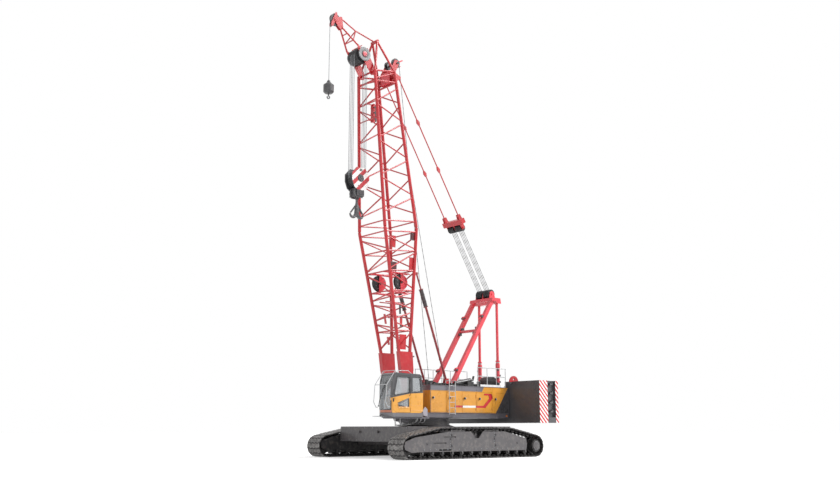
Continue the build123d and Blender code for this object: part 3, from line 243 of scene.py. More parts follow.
red_enamel = enamel("red_two_coat_enamel", "#b8121f", roughness=0.34, dust=0.1)
# A lighter copy of the red enamel that paints sunlight in: it goes on the gantry, the rollers' guards, and the head's
# hubs and keepers.
sunlit_red_enamel = enamel("red_enamel_painted_sunlit", "#e04450", roughness=0.34, dust=0.1)
deck_enamel = enamel("slate_grey_enamel", "#605d64", roughness=0.42)
carrier_enamel = enamel("mid_grey_enamel", "#4e4b4d", roughness=0.45, dust=0.25)
charcoal_enamel = enamel("charcoal_enamel", "#3c3b3e", roughness=0.45)
black_enamel = enamel("black_semi_gloss_enamel", "#1d1d1f", roughness=0.4, dust=0.12)
rail_enamel = enamel("pale_grey_rail_enamel", "#b9bbbd", roughness=0.4)
print("plain enamels made")

# %% [markdown]
# ## Painted lines
# The house, the cab and the counterweight carry painted shapes with straight edges: a band, a hooked red stripe,
# a slanted corner, diagonal bars. Stickers could be cut as thin meshes, but a stripe that crosses doors would
# have to be cut at each seam. A mask in the paint's own nodes runs straight over the seams, and each door takes
# its share of the stripe along when it opens. A convex outline is the overlap of the half planes inside its edges.

# %% Masks for painted shapes
def split(tree, place):
    """The X, Y and Z of a place."""
    return add_node(tree, "ShaderNodeSeparateXYZ", {"Vector": place}).outputs


def math(tree, operation, *values):
    """One step of arithmetic on one or two values."""
    return add_node(tree, "ShaderNodeMath", dict(enumerate(values)), operation=operation).outputs[0]


def painted_area(tree, place, corners):
    """1 inside a convex outline of (X, Z) corners, given in either turn, and 0 outside it."""
    area = sum(a[0] * b[1] - b[0] * a[1] for a, b in zip(corners, corners[1:] + corners[:1]))
    if area < 0:
        corners = corners[::-1]
    inside = None
    for a, b in zip(corners, corners[1:] + corners[:1]):
        inward = Vector((a[1] - b[1], 0, b[0] - a[0])).normalized()
        edge = add_node(tree, "ShaderNodeVectorMath", {0: place, 1: inward}, operation="DOT_PRODUCT").outputs["Value"]
        past = math(tree, "SUBTRACT", edge, inward.dot(Vector((a[0], 0, a[1]))))
        inside = past if inside is None else math(tree, "MINIMUM", inside, past)
    return math(tree, "GREATER_THAN", inside, 0.0)


def merged(tree, operation, masks):
    """Several masks taken together, two at a time."""
    whole = masks[0]
    for mask in masks[1:]:
        whole = math(tree, operation, whole, mask)
    return whole


def any_of(tree, *masks):
    """1 where any of the masks is 1."""
    return merged(tree, "MAXIMUM", masks)


def all_of(tree, *masks):
    """1 where all of the masks are 1."""
    return merged(tree, "MULTIPLY", masks)


def beyond(tree, value, limit):
    """1 where a value is further from zero than a limit."""
    return math(tree, "GREATER_THAN", math(tree, "ABSOLUTE", value), limit)


def near(tree, value, middle, reach):
    """1 where a value is closer to a middle than a reach."""
    return math(tree, "LESS_THAN", math(tree, "ABSOLUTE", math(tree, "SUBTRACT", value, middle)), reach)


def diagonal_bars(tree, place, pitch, rising=1):
    """Bars at 45 degrees in X and Z, half of each pitch wide, measured across the bars."""
    x, _, z = split(tree, place)
    across = math(tree, "MULTIPLY", math(tree, "ADD", z, math(tree, "MULTIPLY", x, float(rising))), 0.7071 / pitch)
    return math(tree, "GREATER_THAN", math(tree, "FRACT", across), 0.5)


print("mask helpers ready")

# %% [markdown]
# ## The house's paint
# The sides are amber enamel. A slate grey band runs under the roof and ends in a slanted edge, the rear lower
# corner is charcoal below a slanted line, the recess of a shallow chevron is a deeper amber as painted shade, and a
# red stripe with a dark edge runs low along the panels, climbs and hooks back. The places come from the photograph, on
# the house's side.

# %% Amber house enamel with its band, corner and stripe
BAND = [(1.2, 3.33), (-2.55, 3.33), (-2.69, 3.55), (-2.72, 3.7), (1.2, 3.7)]
CORNER = [(-4.54, 3.6), (-3.58, 2.24), (-3.57, 2.1), (-4.7, 2.1), (-4.7, 3.6)]
CHEVRON = [[(-3.62, 3.3), (-4.28, 3.3), (-4.17, 3.05), (-3.6, 3.05)], [(-3.6, 3.1), (-4.19, 3.1), (-3.47, 2.42)]]
STRIPE = [
    [(-0.56, 2.59), (-0.56, 2.49), (-2.76, 2.49), (-2.66, 2.6)],
    [(-2.63, 2.59), (-2.78, 2.49), (-3.34, 3.0), (-3.1, 3.0)],
    [(-3.1, 2.99), (-3.34, 2.99), (-3.27, 3.2), (-3.04, 3.14)],
    [(-2.7, 3.15), (-2.74, 3.24), (-3.27, 3.24), (-3.1, 3.15)],
]
WHITE_PLATE = [(-1.14, 2.59), (-2.08, 2.6), (-2.08, 2.49), (-1.14, 2.48)]
HOUSE_FACE = 1.59
ROOF_Z = 3.599
STRIPE_EDGE = 0.025


def grown(corners, by):
    """An outline moved out from its middle."""
    middle = Vector((sum(c[0] for c in corners), sum(c[1] for c in corners))) / len(corners)
    return [tuple(Vector(c) + (Vector(c) - middle).normalized() * by) for c in corners]


def house_paint():
    """The machinery houses' enamel, with all its painted shapes, which lie on the outer faces only."""
    material, tree, place = start_material("amber_two_coat_enamel")
    # deep is a darker amber for the chevron's recess: painted shade.
    amber, deep = linear("#de9a36"), linear("#b87a26")
    _, y, z = split(tree, place)
    outer = beyond(tree, y, HOUSE_FACE)
    shapes = ((CHEVRON, 0, deep), (STRIPE, STRIPE_EDGE, linear("#5b1a1c")), (STRIPE, 0, linear("#c62834")),
              ([WHITE_PLATE], 0, linear("#ecebe6")))
    colour = amber
    for outlines, margin, paint_colour in shapes:
        areas = [painted_area(tree, place, grown(shape, margin) if margin else shape) for shape in outlines]
        colour = mixed(tree, all_of(tree, any_of(tree, *areas), outer), colour, paint_colour)
    grey = any_of(tree, painted_area(tree, place, BAND), math(tree, "GREATER_THAN", z, ROOF_Z))
    colour = mixed(tree, grey, colour, linear("#6f6d74"))
    colour = mixed(tree, painted_area(tree, place, CORNER), colour, linear("#454447"))
    return finish_enamel(material, place, colour, roughness=0.3, dust=0.1, coat=0.4)


house_enamel = house_paint()
print("house paint has", len(house_enamel.node_tree.nodes), "nodes")

# %% [markdown]
# ## The cab's paint
# The cab is dark grey above a line that rises to the rear, amber below it on the sides and the rear, and gloss
# black under the windscreen, with a copper trim strip and a grey sill. It is one paint again, so the door keeps its
# part of every line as it swings.

# %% Cab enamel
CAB_AMBER = [(4.03, 2.86), (2.76, 3.1), (1.9, 3.15), (1.9, 2.28), (2.1, 2.17), (3.9, 2.17)]
LOW_WINDOW = [(3.59, 2.64), (2.86, 2.89), (2.85, 2.47), (3.51, 2.46)]
CAB_MIDDLE, DOOR_FACE = 1.5, 1.95
NOSE_X, NOSE_HALF, NOSE_TOP = 3.8, 0.46, 2.75
TRIM_Z, TRIM_HALF, SILL_TOP = 2.24, 0.055, 2.165


def cab_paint():
    """Dark grey, amber, black and copper, split along the cab's lines."""
    material, tree, place = start_material("cab_enamel")
    x, y, z = split(tree, place)
    colour = mixed(tree, painted_area(tree, place, CAB_AMBER), linear("#434346"), linear("#e2a03c"))
    nose = all_of(tree, math(tree, "GREATER_THAN", x, NOSE_X), near(tree, y, CAB_MIDDLE, NOSE_HALF))
    low = math(tree, "LESS_THAN", z, NOSE_TOP)
    colour = mixed(tree, all_of(tree, nose, low), colour, linear("#1c1d20"))
    colour = mixed(tree, all_of(tree, nose, near(tree, z, TRIM_Z, TRIM_HALF)), colour, linear("#b4694a"))
    colour = mixed(tree, math(tree, "LESS_THAN", z, SILL_TOP), colour, linear("#6f6d72"))
    border = all_of(tree, painted_area(tree, place, LOW_WINDOW), math(tree, "GREATER_THAN", y, DOOR_FACE))
    colour = mixed(tree, border, colour, linear("#232427"))
    return finish_enamel(material, place, colour, roughness=0.3, dust=0.08, coat=0.4)


cab_enamel = cab_paint()
print("cab paint has", len(cab_enamel.node_tree.nodes), "nodes")

# %% [markdown]
# ## Warning stripes
# The ends of the counterweight and the cheeks of the hook block carry red and white bars at 45 degrees, which are
# reflective sheet on the real machine. They are painted here by the same kind of mask: bars of a given pitch,
# kept to the outer faces by how far they lie from the middle.

# %% Counterweight and hook block paint
BAR_PITCH, BLOCK_BAR_PITCH = 0.18, 0.42
END_BANDS, WEIGHT_FACE = (-5.25, -5.88), 3.7975
BLOCK_AXLE, HUB_RADIUS = (4.71, 13.99), 0.2
CHEEK_FACE, CHEEK_LOW = 0.329, 13.37


def weight_paint():
    """Charcoal, with red and white bars in two upright bands on the outer ends."""
    material, tree, place = start_material("charcoal_weight_enamel")
    x, y, _ = split(tree, place)
    outer = beyond(tree, y, WEIGHT_FACE)
    bands = any_of(tree, math(tree, "GREATER_THAN", x, END_BANDS[0]), math(tree, "LESS_THAN", x, END_BANDS[1]))
    bars = mixed(tree, diagonal_bars(tree, place, BAR_PITCH, -1), linear("#f2efec"), linear("#c4202c"))
    colour = mixed(tree, all_of(tree, outer, bands), linear("#4a494c"), bars)
    return finish_enamel(material, place, colour, roughness=0.45, dust=0.05)


def block_paint():
    """Grey, with red and white bars on the cheeks round a dark hub."""
    material, tree, place = start_material("hook_block_enamel")
    x, y, z = split(tree, place)
    outer = beyond(tree, y, CHEEK_FACE)
    upper = math(tree, "GREATER_THAN", z, CHEEK_LOW)
    squares = [math(tree, "POWER", math(tree, "SUBTRACT", value, middle), 2.0)
               for value, middle in zip((x, z), BLOCK_AXLE)]
    ring = math(tree, "GREATER_THAN", math(tree, "SQRT", math(tree, "ADD", *squares)), HUB_RADIUS)
    bars = mixed(tree, diagonal_bars(tree, place, BLOCK_BAR_PITCH), linear("#f2efec"), linear("#b81c28"))
    cheek = all_of(tree, outer, upper, ring)
    return finish_enamel(material, place, mixed(tree, cheek, linear("#3a3a3d"), bars), roughness=0.4)


weight_enamel = weight_paint()
block_enamel = block_paint()
print("striped paints made")

# %% [markdown]
# ## Bare and worn metals
# The track shoes are cast steel, dark where they are sheltered and polished grey where they roll. Rope is drawn
# wire, rods are ground and chromed, sheaves are cast nylon, which is nearly black with a dull sheen. Metal is
# metallic 1 at the default index; its roughness and a patchy wear do the rest.

# %% Track steel, rope wire, chrome and nylon
def plain_surface(name, hex_low, hex_high, size_mm, roughness, metallic=0.0, bump=0.1, detail=4.0):
    """A surface whose tone and height wander between two colours in patches of a given size."""
    material, tree, place = start_material(name)
    wear = patches(tree, place, size_mm, detail)
    share = scaled(tree, wear, 0, 1, 0.38, 0.66)
    colour = mixed(tree, share, linear(hex_low), linear(hex_high))
    rough = scaled(tree, wear, roughness + 0.1, roughness - 0.08, 0.38, 0.66)
    relief = add_node(tree, "ShaderNodeBump", {"Height": wear, "Strength": bump, "Distance": 0.006})
    return end_material(material, {"Base Color": colour, "Roughness": rough, "Metallic": metallic,
                                   "Normal": relief.outputs[0]})


track_steel = plain_surface("cast_track_steel", "#252426", "#5d5a59", 90, 0.5, 0.35, 0.35)
roller_steel = plain_surface("rolled_roller_steel", "#1d1c1e", "#4a4847", 60, 0.45, 0.4, 0.2)
rope_wire = plain_surface("galvanised_rope_wire", "#77787b", "#a9abae", 25, 0.4, 0.8, 0.5)
chrome_rod = plain_surface("hard_chromed_rod", "#b5b8bb", "#c9cbcd", 300, 0.14, 1.0, 0.02)
sheave_nylon = plain_surface("cast_nylon", "#19191b", "#2b2b2e", 40, 0.42, 0.0, 0.15)
forged_hook = plain_surface("forged_hook_steel_painted", "#4b4b4e", "#6a6a6c", 70, 0.45, 0.2, 0.3)
rubber = plain_surface("moulded_rubber", "#161617", "#232325", 20, 0.65, 0.0, 0.3)
engine_iron = plain_surface("cast_iron_block", "#3a3d3b", "#55594f", 60, 0.6, 0.3, 0.4)
bolt_zinc = plain_surface("zinc_plated_bolt_steel", "#6f7073", "#96989b", 30, 0.38, 0.9, 0.1)
lens_orange = plain_surface("moulded_orange_lens", "#e0701c", "#f29238", 30, 0.2, 0.0, 0.05)
print("metals and plastics made")

# %% [markdown]
# ## Window glass
# Cab glass is tempered sheet, tinted grey, which hides most of the inside by day and mirrors the sky. A full glass
# shader costs many samples for a pane a few pixels wide. A thin pane is a see-through surface with a
# grey tint and a clear reflection whose strength follows Fresnel, so it is built as that.

# %% Tinted safety glass
def make_glass():
    """A thin tinted pane with a film of dust that scatters the light, and sky reflections."""
    material, tree, _ = start_material("tinted_safety_glass")
    through = add_node(tree, "ShaderNodeBsdfTransparent", {"Color": linear("#f4f6f7")})
    film = add_node(tree, "ShaderNodeBsdfDiffuse", {"Color": linear("#eef1f3")})
    dusty = add_node(tree, "ShaderNodeMixShader", {0: 0.26, 1: through.outputs[0], 2: film.outputs[0]})
    mirror = add_node(tree, "ShaderNodeBsdfGlossy", {"Color": (0.95, 0.97, 1, 1), "Roughness": 0.04})
    lean = add_node(tree, "ShaderNodeFresnel", {"IOR": 1.45})
    pane = add_node(tree, "ShaderNodeMixShader", {0: lean.outputs[0], 1: dusty.outputs[0], 2: mirror.outputs[0]})
    add_node(tree, "ShaderNodeOutputMaterial", {"Surface": pane.outputs[0]})
    return material


window_glass = make_glass()
print("glass made")

# %% Two paints that change across a piece
HOUSING = (4.01, 4.93)
BACKSTOP_FOOT, BACKSTOP_EYE = Vector((-0.65, 0, 3.9)), Vector((1.4, 0, 9.33))
TRACK_INNER_Y = 2.87


def make_backstop_paint():
    """Dark red on the backstop's tube, rod and flanges, charcoal on the spring housing between the flanges."""
    material, tree, place = start_material("dark_red_tube_enamel")
    way = (BACKSTOP_EYE - BACKSTOP_FOOT).normalized()
    reach = add_node(tree, "ShaderNodeVectorMath", {0: place, 1: way}, operation="DOT_PRODUCT").outputs["Value"]
    start = way.dot(BACKSTOP_FOOT)
    housing = math(tree, "MULTIPLY", math(tree, "GREATER_THAN", reach, start + HOUSING[0]),
                   math(tree, "LESS_THAN", reach, start + HOUSING[1]))
    colour = mixed(tree, housing, linear("#85131e"), linear("#2c2226"))
    return finish_enamel(material, place, colour, roughness=0.4)


def make_track_frame_paint():
    """Mid grey outside, and near black on the inner side, which is painted shade."""
    material, tree, place = start_material("track_frame_enamel_inner_shade")
    side = math(tree, "ABSOLUTE", split(tree, place)[1])
    # The near black on the inner sides is painted shade.
    colour = mixed(tree, math(tree, "LESS_THAN", side, TRACK_INNER_Y), linear("#4e4b4d"), linear("#1d1c1e"))
    return finish_enamel(material, place, colour, roughness=0.45, dust=0.25)


backstop_enamel = make_backstop_paint()
track_frame_enamel_inner_shade = make_track_frame_paint()
print("two-tone paints made")

# %% [markdown]
# ## Paint the CAD nodes
# Each CAD node keeps its mesh and only takes a better material in its slots.

# %% One material for each node
NODE_FINISH = {
    red_enamel: ["boom_foot_sides", "boom_foot_cross_lacing", "boom_top_sides", "boom_top_cross_lacing", "boom_head",
                 "tip_jib", "pendants", "bail", "backstop_feet"],
    sunlit_red_enamel: ["gantry_legs", "gantry_head"],
    black_enamel: ["deck_machinery", "winches"],
    deck_enamel: ["revolving_frame", "slew_ring", "cab_mount"],
    carrier_enamel: ["carbody", "carrier_weights"],
    track_frame_enamel_inner_shade: ["left_track_frame", "right_track_frame"],
    backstop_enamel: ["backstop_tubes", "backstop_rods"],
    weight_enamel: ["counterweight_slabs", "counterweight_tray"],
    house_enamel: ["left_house", "right_house"] + [f"{side}_house_door_{n}" for side in ("left", "right")
                                                   for n in (1, 2, 3)],
    cab_enamel: ["cab_shell", "cab_door"],
    block_enamel: ["hook_block"],
    track_steel: ["left_track", "right_track"],
    roller_steel: ["left_track_wheels", "right_track_wheels"],
    sheave_nylon: ["boom_sheaves", "gantry_sheaves", "bail_sheaves", "hook_block_sheaves"],
    rope_wire: ["luffing_falls_lower", "luffing_falls_upper", "main_falls", "aux_rope"],
    chrome_rod: ["boom_foot_pins"],
    charcoal_enamel: ["aux_ball"],
    forged_hook: ["main_hook", "aux_hook"],
    rail_enamel: ["deck_rails", "cab_guards"],
    rubber: ["driver_seat"],
    engine_iron: ["engine"],
    lens_orange: ["side_lamps"],
    window_glass: ["cab_glass", "cab_door_glass"],
}


def paint(piece, material):
    """Puts one material in every slot of a piece."""
    if not piece.data.materials:
        piece.data.materials.append(material)
    for index in range(len(piece.data.materials)):
        piece.data.materials[index] = material


for material, names in NODE_FINISH.items():
    for name in names:
        paint(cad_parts[name], material)
painted = {name for names in NODE_FINISH.values() for name in names}
print("nodes left unpainted:", sorted(set(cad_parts) - painted))

# %% [markdown]
# ## Building small pieces
# Every small piece below is a closed skin: a plate is an outline pushed through, a tube is a ring carried along a
# line, and a turned part is a ring that changes its radius along an axis. They could be Blender's ready cubes and
# cylinders, but those have to be moved and scaled, and a finished piece must stand at the origin. Points written
# straight into one mesh need no such step, and all the like pieces of one body share an object.

# %% Plates, tubes and turned parts
def add_skin(mesh, rings):
    """A closed skin through rings of points, with a face over each end."""
    loops = [[mesh.verts.new(point) for point in ring] for ring in rings]
    count = len(loops[0])
    for near, far in zip(loops, loops[1:]):
        for i in range(count):
            j = (i + 1) % count
            mesh.faces.new((near[i], near[j], far[j], far[i]))
    mesh.faces.new(loops[0][::-1])
    mesh.faces.new(loops[-1])


def add_plate(mesh, outline, axis, low, high):
    """A plate with an outline in the two other axes, between two levels of its own axis."""
    place = {"x": lambda a, b, level: (level, a, b), "y": lambda a, b, level: (a, level, b),
             "z": lambda a, b, level: (a, b, level)}[axis]
    add_skin(mesh, [[place(a, b, level) for a, b in outline] for level in (low, high)])


def add_box(mesh, x, y, z):
    """A box from its spans in X, Y and Z."""
    add_plate(mesh, [(x[0], y[0]), (x[1], y[0]), (x[1], y[1]), (x[0], y[1])], "z", *z)


def add_tube(mesh, points, radius, sides=10):
    """A round bar through a line of points."""
    points = [Vector(point) for point in points]
    aside = (points[1] - points[0]).orthogonal().normalized()
    rings = []
    for i, point in enumerate(points):
        direction = (points[min(i + 1, len(points) - 1)] - points[max(i - 1, 0)]).normalized()
        aside = (aside - aside.dot(direction) * direction).normalized()
        across = direction.cross(aside)
        turns = [2 * pi * k / sides for k in range(sides)]
        rings.append([point + radius * (cos(t) * aside + sin(t) * across) for t in turns])
    add_skin(mesh, rings)


def add_turned(mesh, base, direction, profile, sides=24):
    """A turned part on an axis, from pairs of distance along it and radius."""
    base, direction = Vector(base), Vector(direction).normalized()
    aside = direction.orthogonal().normalized()
    across = direction.cross(aside)
    turns = [2 * pi * k / sides for k in range(sides)]
    add_skin(mesh, [[base + along * direction + radius * (cos(t) * aside + sin(t) * across) for t in turns]
                    for along, radius in profile])


def mesh_data(name, mesh):
    """A built mesh as plain mesh data, with its faces turned outwards."""
    bmesh.ops.recalc_face_normals(mesh, faces=mesh.faces)
    data = bpy.data.meshes.new(name)
    mesh.to_mesh(data)
    mesh.free()
    return data


def link_object(name, data):
    """An object with this mesh, linked into the scene."""
    thing = bpy.data.objects.new(name, data)
    bpy.context.scene.collection.objects.link(thing)
    return thing


def evaluated_mesh(thing):
    """The plain mesh that an object's modifiers give."""
    return bpy.data.meshes.new_from_object(thing.evaluated_get(bpy.context.evaluated_depsgraph_get()))


def finish_piece(name, mesh, body, material, bevel=0.0):
    """Makes a built mesh a piece of the crane, with soft edges, that rides on a body."""
    return add_piece(name, mesh_data(name, mesh), body, material, bevel)


def add_piece(name, data, body, material, bevel=0.0):
    """Adds a finished mesh to the scene as a piece of the crane."""
    for face in data.polygons:
        face.use_smooth = True
    data.set_sharp_from_angle(angle=radians(32))
    piece = link_object(name, data)
    data.materials.clear()
    data.materials.append(material)
    if bevel:
        edges = piece.modifiers.new("soft_edges", "BEVEL")
        edges.width = bevel
        edges.segments = 2
        edges.limit_method = "ANGLE"
        edges.angle_limit = radians(40)
    if body:
        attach(piece, body)
    return piece


def smooth_line(points, steps=6):
    """A curve through a line of points, as more points: each stretch is a cubic that keeps the line's slope."""
    points = [Vector(point) for point in points]
    ends = [2 * points[0] - points[1], *points, 2 * points[-1] - points[-2]]
    line = []
    for before, a, b, after in zip(ends, ends[1:], ends[2:], ends[3:]):
        for k in range(steps):
            t = k / steps
            line.append(0.5 * (2 * a + (b - before) * t + (2 * before - 5 * a + 4 * b - after) * t * t
                               + (3 * a - before - 3 * b + after) * t ** 3))
    return line + [points[-1]]


print("builders for small pieces ready")

# %% [markdown]
# ## A tree that copies one thing onto many spots
# Bolts and track shoes repeat by the hundred. Each could be a linked copy, but the pieces here are plain meshes,
# and hundreds of objects are hard to handle. A Geometry Nodes tree puts one pattern on every point
# of a cloud. Each point carries two directions, the way the copy faces and the way it runs, as attributes.

# %% The copying tree
def new_tree(name, sockets):
    """An empty geometry tree with its inputs, and the nodes at both of its ends."""
    tree = bpy.data.node_groups.new(name, "GeometryNodeTree")
    tree.interface.new_socket("Geometry", in_out="INPUT", socket_type="NodeSocketGeometry")
    for label, kind in sockets.items():
        tree.interface.new_socket(label, in_out="INPUT", socket_type=kind)
    tree.interface.new_socket("Geometry", in_out="OUTPUT", socket_type="NodeSocketGeometry")
    given = add_node(tree, "NodeGroupInput")
    return tree, given.outputs


def end_tree(tree, points, pattern, finish):
    """Copies a pattern onto points by their two directions, and ends the tree."""
    facing = add_node(tree, "GeometryNodeInputNamedAttribute", {"Name": "facing"}, data_type="FLOAT_VECTOR")
    running = add_node(tree, "GeometryNodeInputNamedAttribute", {"Name": "running"}, data_type="FLOAT_VECTOR")
    turn = add_node(tree, "FunctionNodeAxesToRotation", {0: facing.outputs[0], 1: running.outputs[0]},
                    primary_axis="Z", secondary_axis="X")
    copies = add_node(tree, "GeometryNodeInstanceOnPoints", {"Points": points, "Instance": pattern,
                                                             "Rotation": turn.outputs[0]})
    real = add_node(tree, "GeometryNodeRealizeInstances", {"Geometry": copies.outputs[0]})
    dressed = add_node(tree, "GeometryNodeSetMaterial", {"Geometry": real.outputs[0], "Material": finish})
    add_node(tree, "NodeGroupOutput", {"Geometry": dressed.outputs[0]})


def make_spots(name, spots):
    """A cloud of points: places, each with the way it faces and the way it runs."""
    data = bpy.data.meshes.new(name)
    data.from_pydata([spot[0] for spot in spots], [], [])
    for label, index in (("facing", 1), ("running", 2)):
        values = [number for spot in spots for number in spot[index]]
        data.attributes.new(label, "FLOAT_VECTOR", "POINT").data.foreach_set("vector", values)
    return link_object(name, data)


def run_tree(cloud, tree, values):
    """Runs a tree on a cloud with its named inputs and gives the plain mesh; the cloud is removed."""
    modifier = cloud.modifiers.new("copies", "NODES")
    modifier.node_group = tree
    for socket in tree.interface.items_tree:
        if socket.in_out == "INPUT" and socket.name in values:
            modifier[socket.identifier] = values[socket.name]
    bpy.context.view_layer.update()
    result = evaluated_mesh(cloud)
    cloud.modifiers.remove(modifier)
    bpy.data.objects.remove(cloud)
    return result


def make_pattern_tree():
    """Copies a given object's mesh."""
    tree, given = new_tree("pattern_on_spots", {"Pattern": "NodeSocketObject", "Finish": "NodeSocketMaterial"})
    pattern = add_node(tree, "GeometryNodeObjectInfo", {"Object": given["Pattern"]})
    end_tree(tree, given["Geometry"], pattern.outputs["Geometry"], given["Finish"])
    return tree


def make_bolt_tree():
    """Copies a hexagon head with a washer, both by their sizes."""
    sizes = ("Head Radius", "Head Height", "Washer Radius", "Washer Height")
    sockets = {size: "NodeSocketFloat" for size in sizes}
    tree, given = new_tree("hexagon_bolts_on_spots", {**sockets, "Finish": "NodeSocketMaterial"})
    parts = []
    for sides, radius, height in ((6, "Head Radius", "Head Height"), (12, "Washer Radius", "Washer Height")):
        drum = add_node(tree, "GeometryNodeMeshCylinder", {"Vertices": sides, "Radius": given[radius],
                                                           "Depth": given[height]})
        half = add_node(tree, "ShaderNodeMath", {0: given[height], 1: 0.5}, operation="MULTIPLY")
        lift = add_node(tree, "ShaderNodeCombineXYZ", {"Z": half.outputs[0]})
        moved = add_node(tree, "GeometryNodeTransform", {"Geometry": drum.outputs["Mesh"],
                                                         "Translation": lift.outputs[0]})
        parts.append(moved.outputs[0])
    both = add_node(tree, "GeometryNodeJoinGeometry")
    for part in parts:
        tree.links.new(part, both.inputs[0])
    end_tree(tree, given["Geometry"], both.outputs[0], given["Finish"])
    return tree


pattern_tree = make_pattern_tree()
bolt_tree = make_bolt_tree()


def add_bolts(name, body, spots, radius=0.02, material=None):
    """Hexagon bolts with washers on spots, each a place and the way it faces."""
    spots = [(place, Vector(facing).normalized(), Vector(facing).orthogonal().normalized()) for place, facing in spots]
    material = material or bolt_zinc
    data = run_tree(make_spots(name + "_spots", spots), bolt_tree, {
        "Head Radius": radius, "Head Height": radius * 0.9, "Washer Radius": radius * 1.5,
        "Washer Height": radius * 0.25, "Finish": material})
    return add_piece(name, data, body, material)


def axle_spots(x, y, z, radius, count, facing, start=0.0):
    """Evenly spaced spots round an axle that runs across the crane."""
    turns = [2 * pi * k / count + start for k in range(count)]
    return [((x + radius * cos(t), y, z + radius * sin(t)), facing) for t in turns]


print("copying trees:", pattern_tree.name, bolt_tree.name)

# %% [markdown]
# ## Track shoes
# A crawler crane's shoe is one steel casting about 1.1 m wide and 290 mm long. Its outer face is a pad polished
# by the ground, its edges have teeth that mesh with the next shoe, and a box with a guide lug runs under it, with
# a pin at each end. The CAD track is one closed band with a step per shoe. Here each shoe is a casting of its own,
# copied by the tree along the same path, and each one lies on a straight line between two joints, as a rigid
# shoe does on the round end of a track.

# %% The track's path and one shoe
TRACK_Y = 3.294
TRACK_END_X = 4.255
TRACK_END_RADIUS = 0.56
TRACK_TOP = 1.49
TRACK_TOP_HALF = 2.365
SHOE_COUNT = 72
SHOE_WIDTH = 1.09
SHOE_SINK = 0.004
TOOTH_COUNT = 4
TOOTH_DEPTH = 0.034
JOINT_SHARE = 0.48

slope_run = TRACK_END_X - TRACK_TOP_HALF
slope_rise = TRACK_TOP - TRACK_END_RADIUS
slope_length = sqrt(slope_run ** 2 + slope_rise ** 2 - TRACK_END_RADIUS ** 2)
slope_angle = atan2(slope_rise, slope_run) - atan2(TRACK_END_RADIUS, slope_length)
end_arc = (pi - slope_angle) * TRACK_END_RADIUS
half_path = TRACK_END_X + end_arc + slope_length + TRACK_TOP_HALF


def track_point(s):
    """The point in X and Z at a distance along the outer path, from the middle of the ground."""
    s %= 2 * half_path
    flip = 1
    if s > half_path:
        s, flip = 2 * half_path - s, -1
    if s <= TRACK_END_X:
        x, z = s, 0
    elif s <= TRACK_END_X + end_arc:
        turn = (s - TRACK_END_X) / TRACK_END_RADIUS
        x, z = TRACK_END_X + TRACK_END_RADIUS * sin(turn), TRACK_END_RADIUS * (1 - cos(turn))
    elif s <= half_path - TRACK_TOP_HALF:
        left = half_path - TRACK_TOP_HALF - s
        x, z = TRACK_TOP_HALF + left * cos(slope_angle), TRACK_TOP - left * sin(slope_angle)
    else:
        x, z = half_path - s, TRACK_TOP
    return Vector((flip * x, 0, z))


pitch = 2 * half_path / SHOE_COUNT


def shoe_outline(length, width, depth):
    """A shoe seen from outside: teeth along the front edge, and the gaps that take them along the rear one."""
    front, step = [], width / (2 * TOOTH_COUNT)
    reach = length / 2 + depth / 2
    for i in range(TOOTH_COUNT):
        y = -width / 2 + 2 * i * step
        front += [(reach, y + 0.06 * step), (reach, y + 0.72 * step), (reach - depth, y + step),
                  (reach - depth, y + 1.78 * step)]
    return front + [(-x, -y) for x, y in front]


def make_shoe_body():
    """The casting: the plate with its teeth, the link box, the guide lug and the two pins."""
    mesh = bmesh.new()
    add_plate(mesh, shoe_outline(pitch - 0.008, SHOE_WIDTH, TOOTH_DEPTH), "z", -0.058, -0.02)
    add_plate(mesh, shoe_outline(pitch - 0.03, SHOE_WIDTH - 0.02, TOOTH_DEPTH), "z", -0.021, -0.012)
    for y in (-0.15, 0.15):
        add_box(mesh, (-0.13, 0.13), (y - 0.055, y + 0.055), (-0.106, -0.057))
    add_plate(mesh, [(-0.1, -0.105), (-0.05, -0.164), (0.05, -0.164), (0.1, -0.105)], "y", -0.2, 0.2)
    for x in (-pitch / 2, pitch / 2):
        add_turned(mesh, (x, -0.34, -0.075), (0, 1, 0), [(0, 0.018), (0.02, 0.026), (0.66, 0.026), (0.68, 0.018)], 8)
    return mesh


def make_shoe_pad():
    """The worn pads on the outer face, one over each tooth, with gaps between them."""
    mesh = bmesh.new()
    step = SHOE_WIDTH / (2 * TOOTH_COUNT)
    for i in range(2 * TOOTH_COUNT):
        y = -SHOE_WIDTH / 2 + (i + 0.5) * step
        shift = TOOTH_DEPTH / 2 if i % 2 == 0 else -TOOTH_DEPTH / 2
        wide, long = step * 0.44, pitch * 0.36
        outline = [(shift - long, y - wide), (shift + long * 0.86, y - wide), (shift + long, y - wide * 0.6),
                   (shift + long, y + wide * 0.6), (shift + long * 0.86, y + wide), (shift - long, y + wide)]
        add_plate(mesh, outline, "z", -0.014, 0)
    return mesh


print("shoe pitch", round(pitch, 4), "m, path", round(2 * half_path, 3), "m")

# %% Copy the shoes round both tracks
worn_pad_steel = plain_surface("worn_pad_steel", "#5f5d5c", "#8c8a88", 110, 0.42, 0.4, 0.3)


def shoe_spots(y):
    """The middle of each shoe on a track, the way out of the track and the way round it."""
    spots = []
    for i in range(SHOE_COUNT):
        start, end = (track_point((i + JOINT_SHARE + step) * pitch) for step in (0, 1))
        running = (end - start).normalized()
        facing = Vector((0, 1, 0)).cross(running).normalized()
        place = (start + end) / 2 - SHOE_SINK * facing
        spots.append(((place.x, y, place.z), facing, running))
    return spots


def make_shoes(side, y, label, mesh, material):
    """One kind of casting copied round one track."""
    pattern = link_object(label, mesh_data(label, mesh))
    spots = make_spots(label + "_spots", shoe_spots(y))
    result = run_tree(spots, pattern_tree, {"Pattern": pattern, "Finish": material})
    bpy.data.objects.remove(pattern)
    return add_piece(f"{side}_{label}", result, "undercarriage", material)


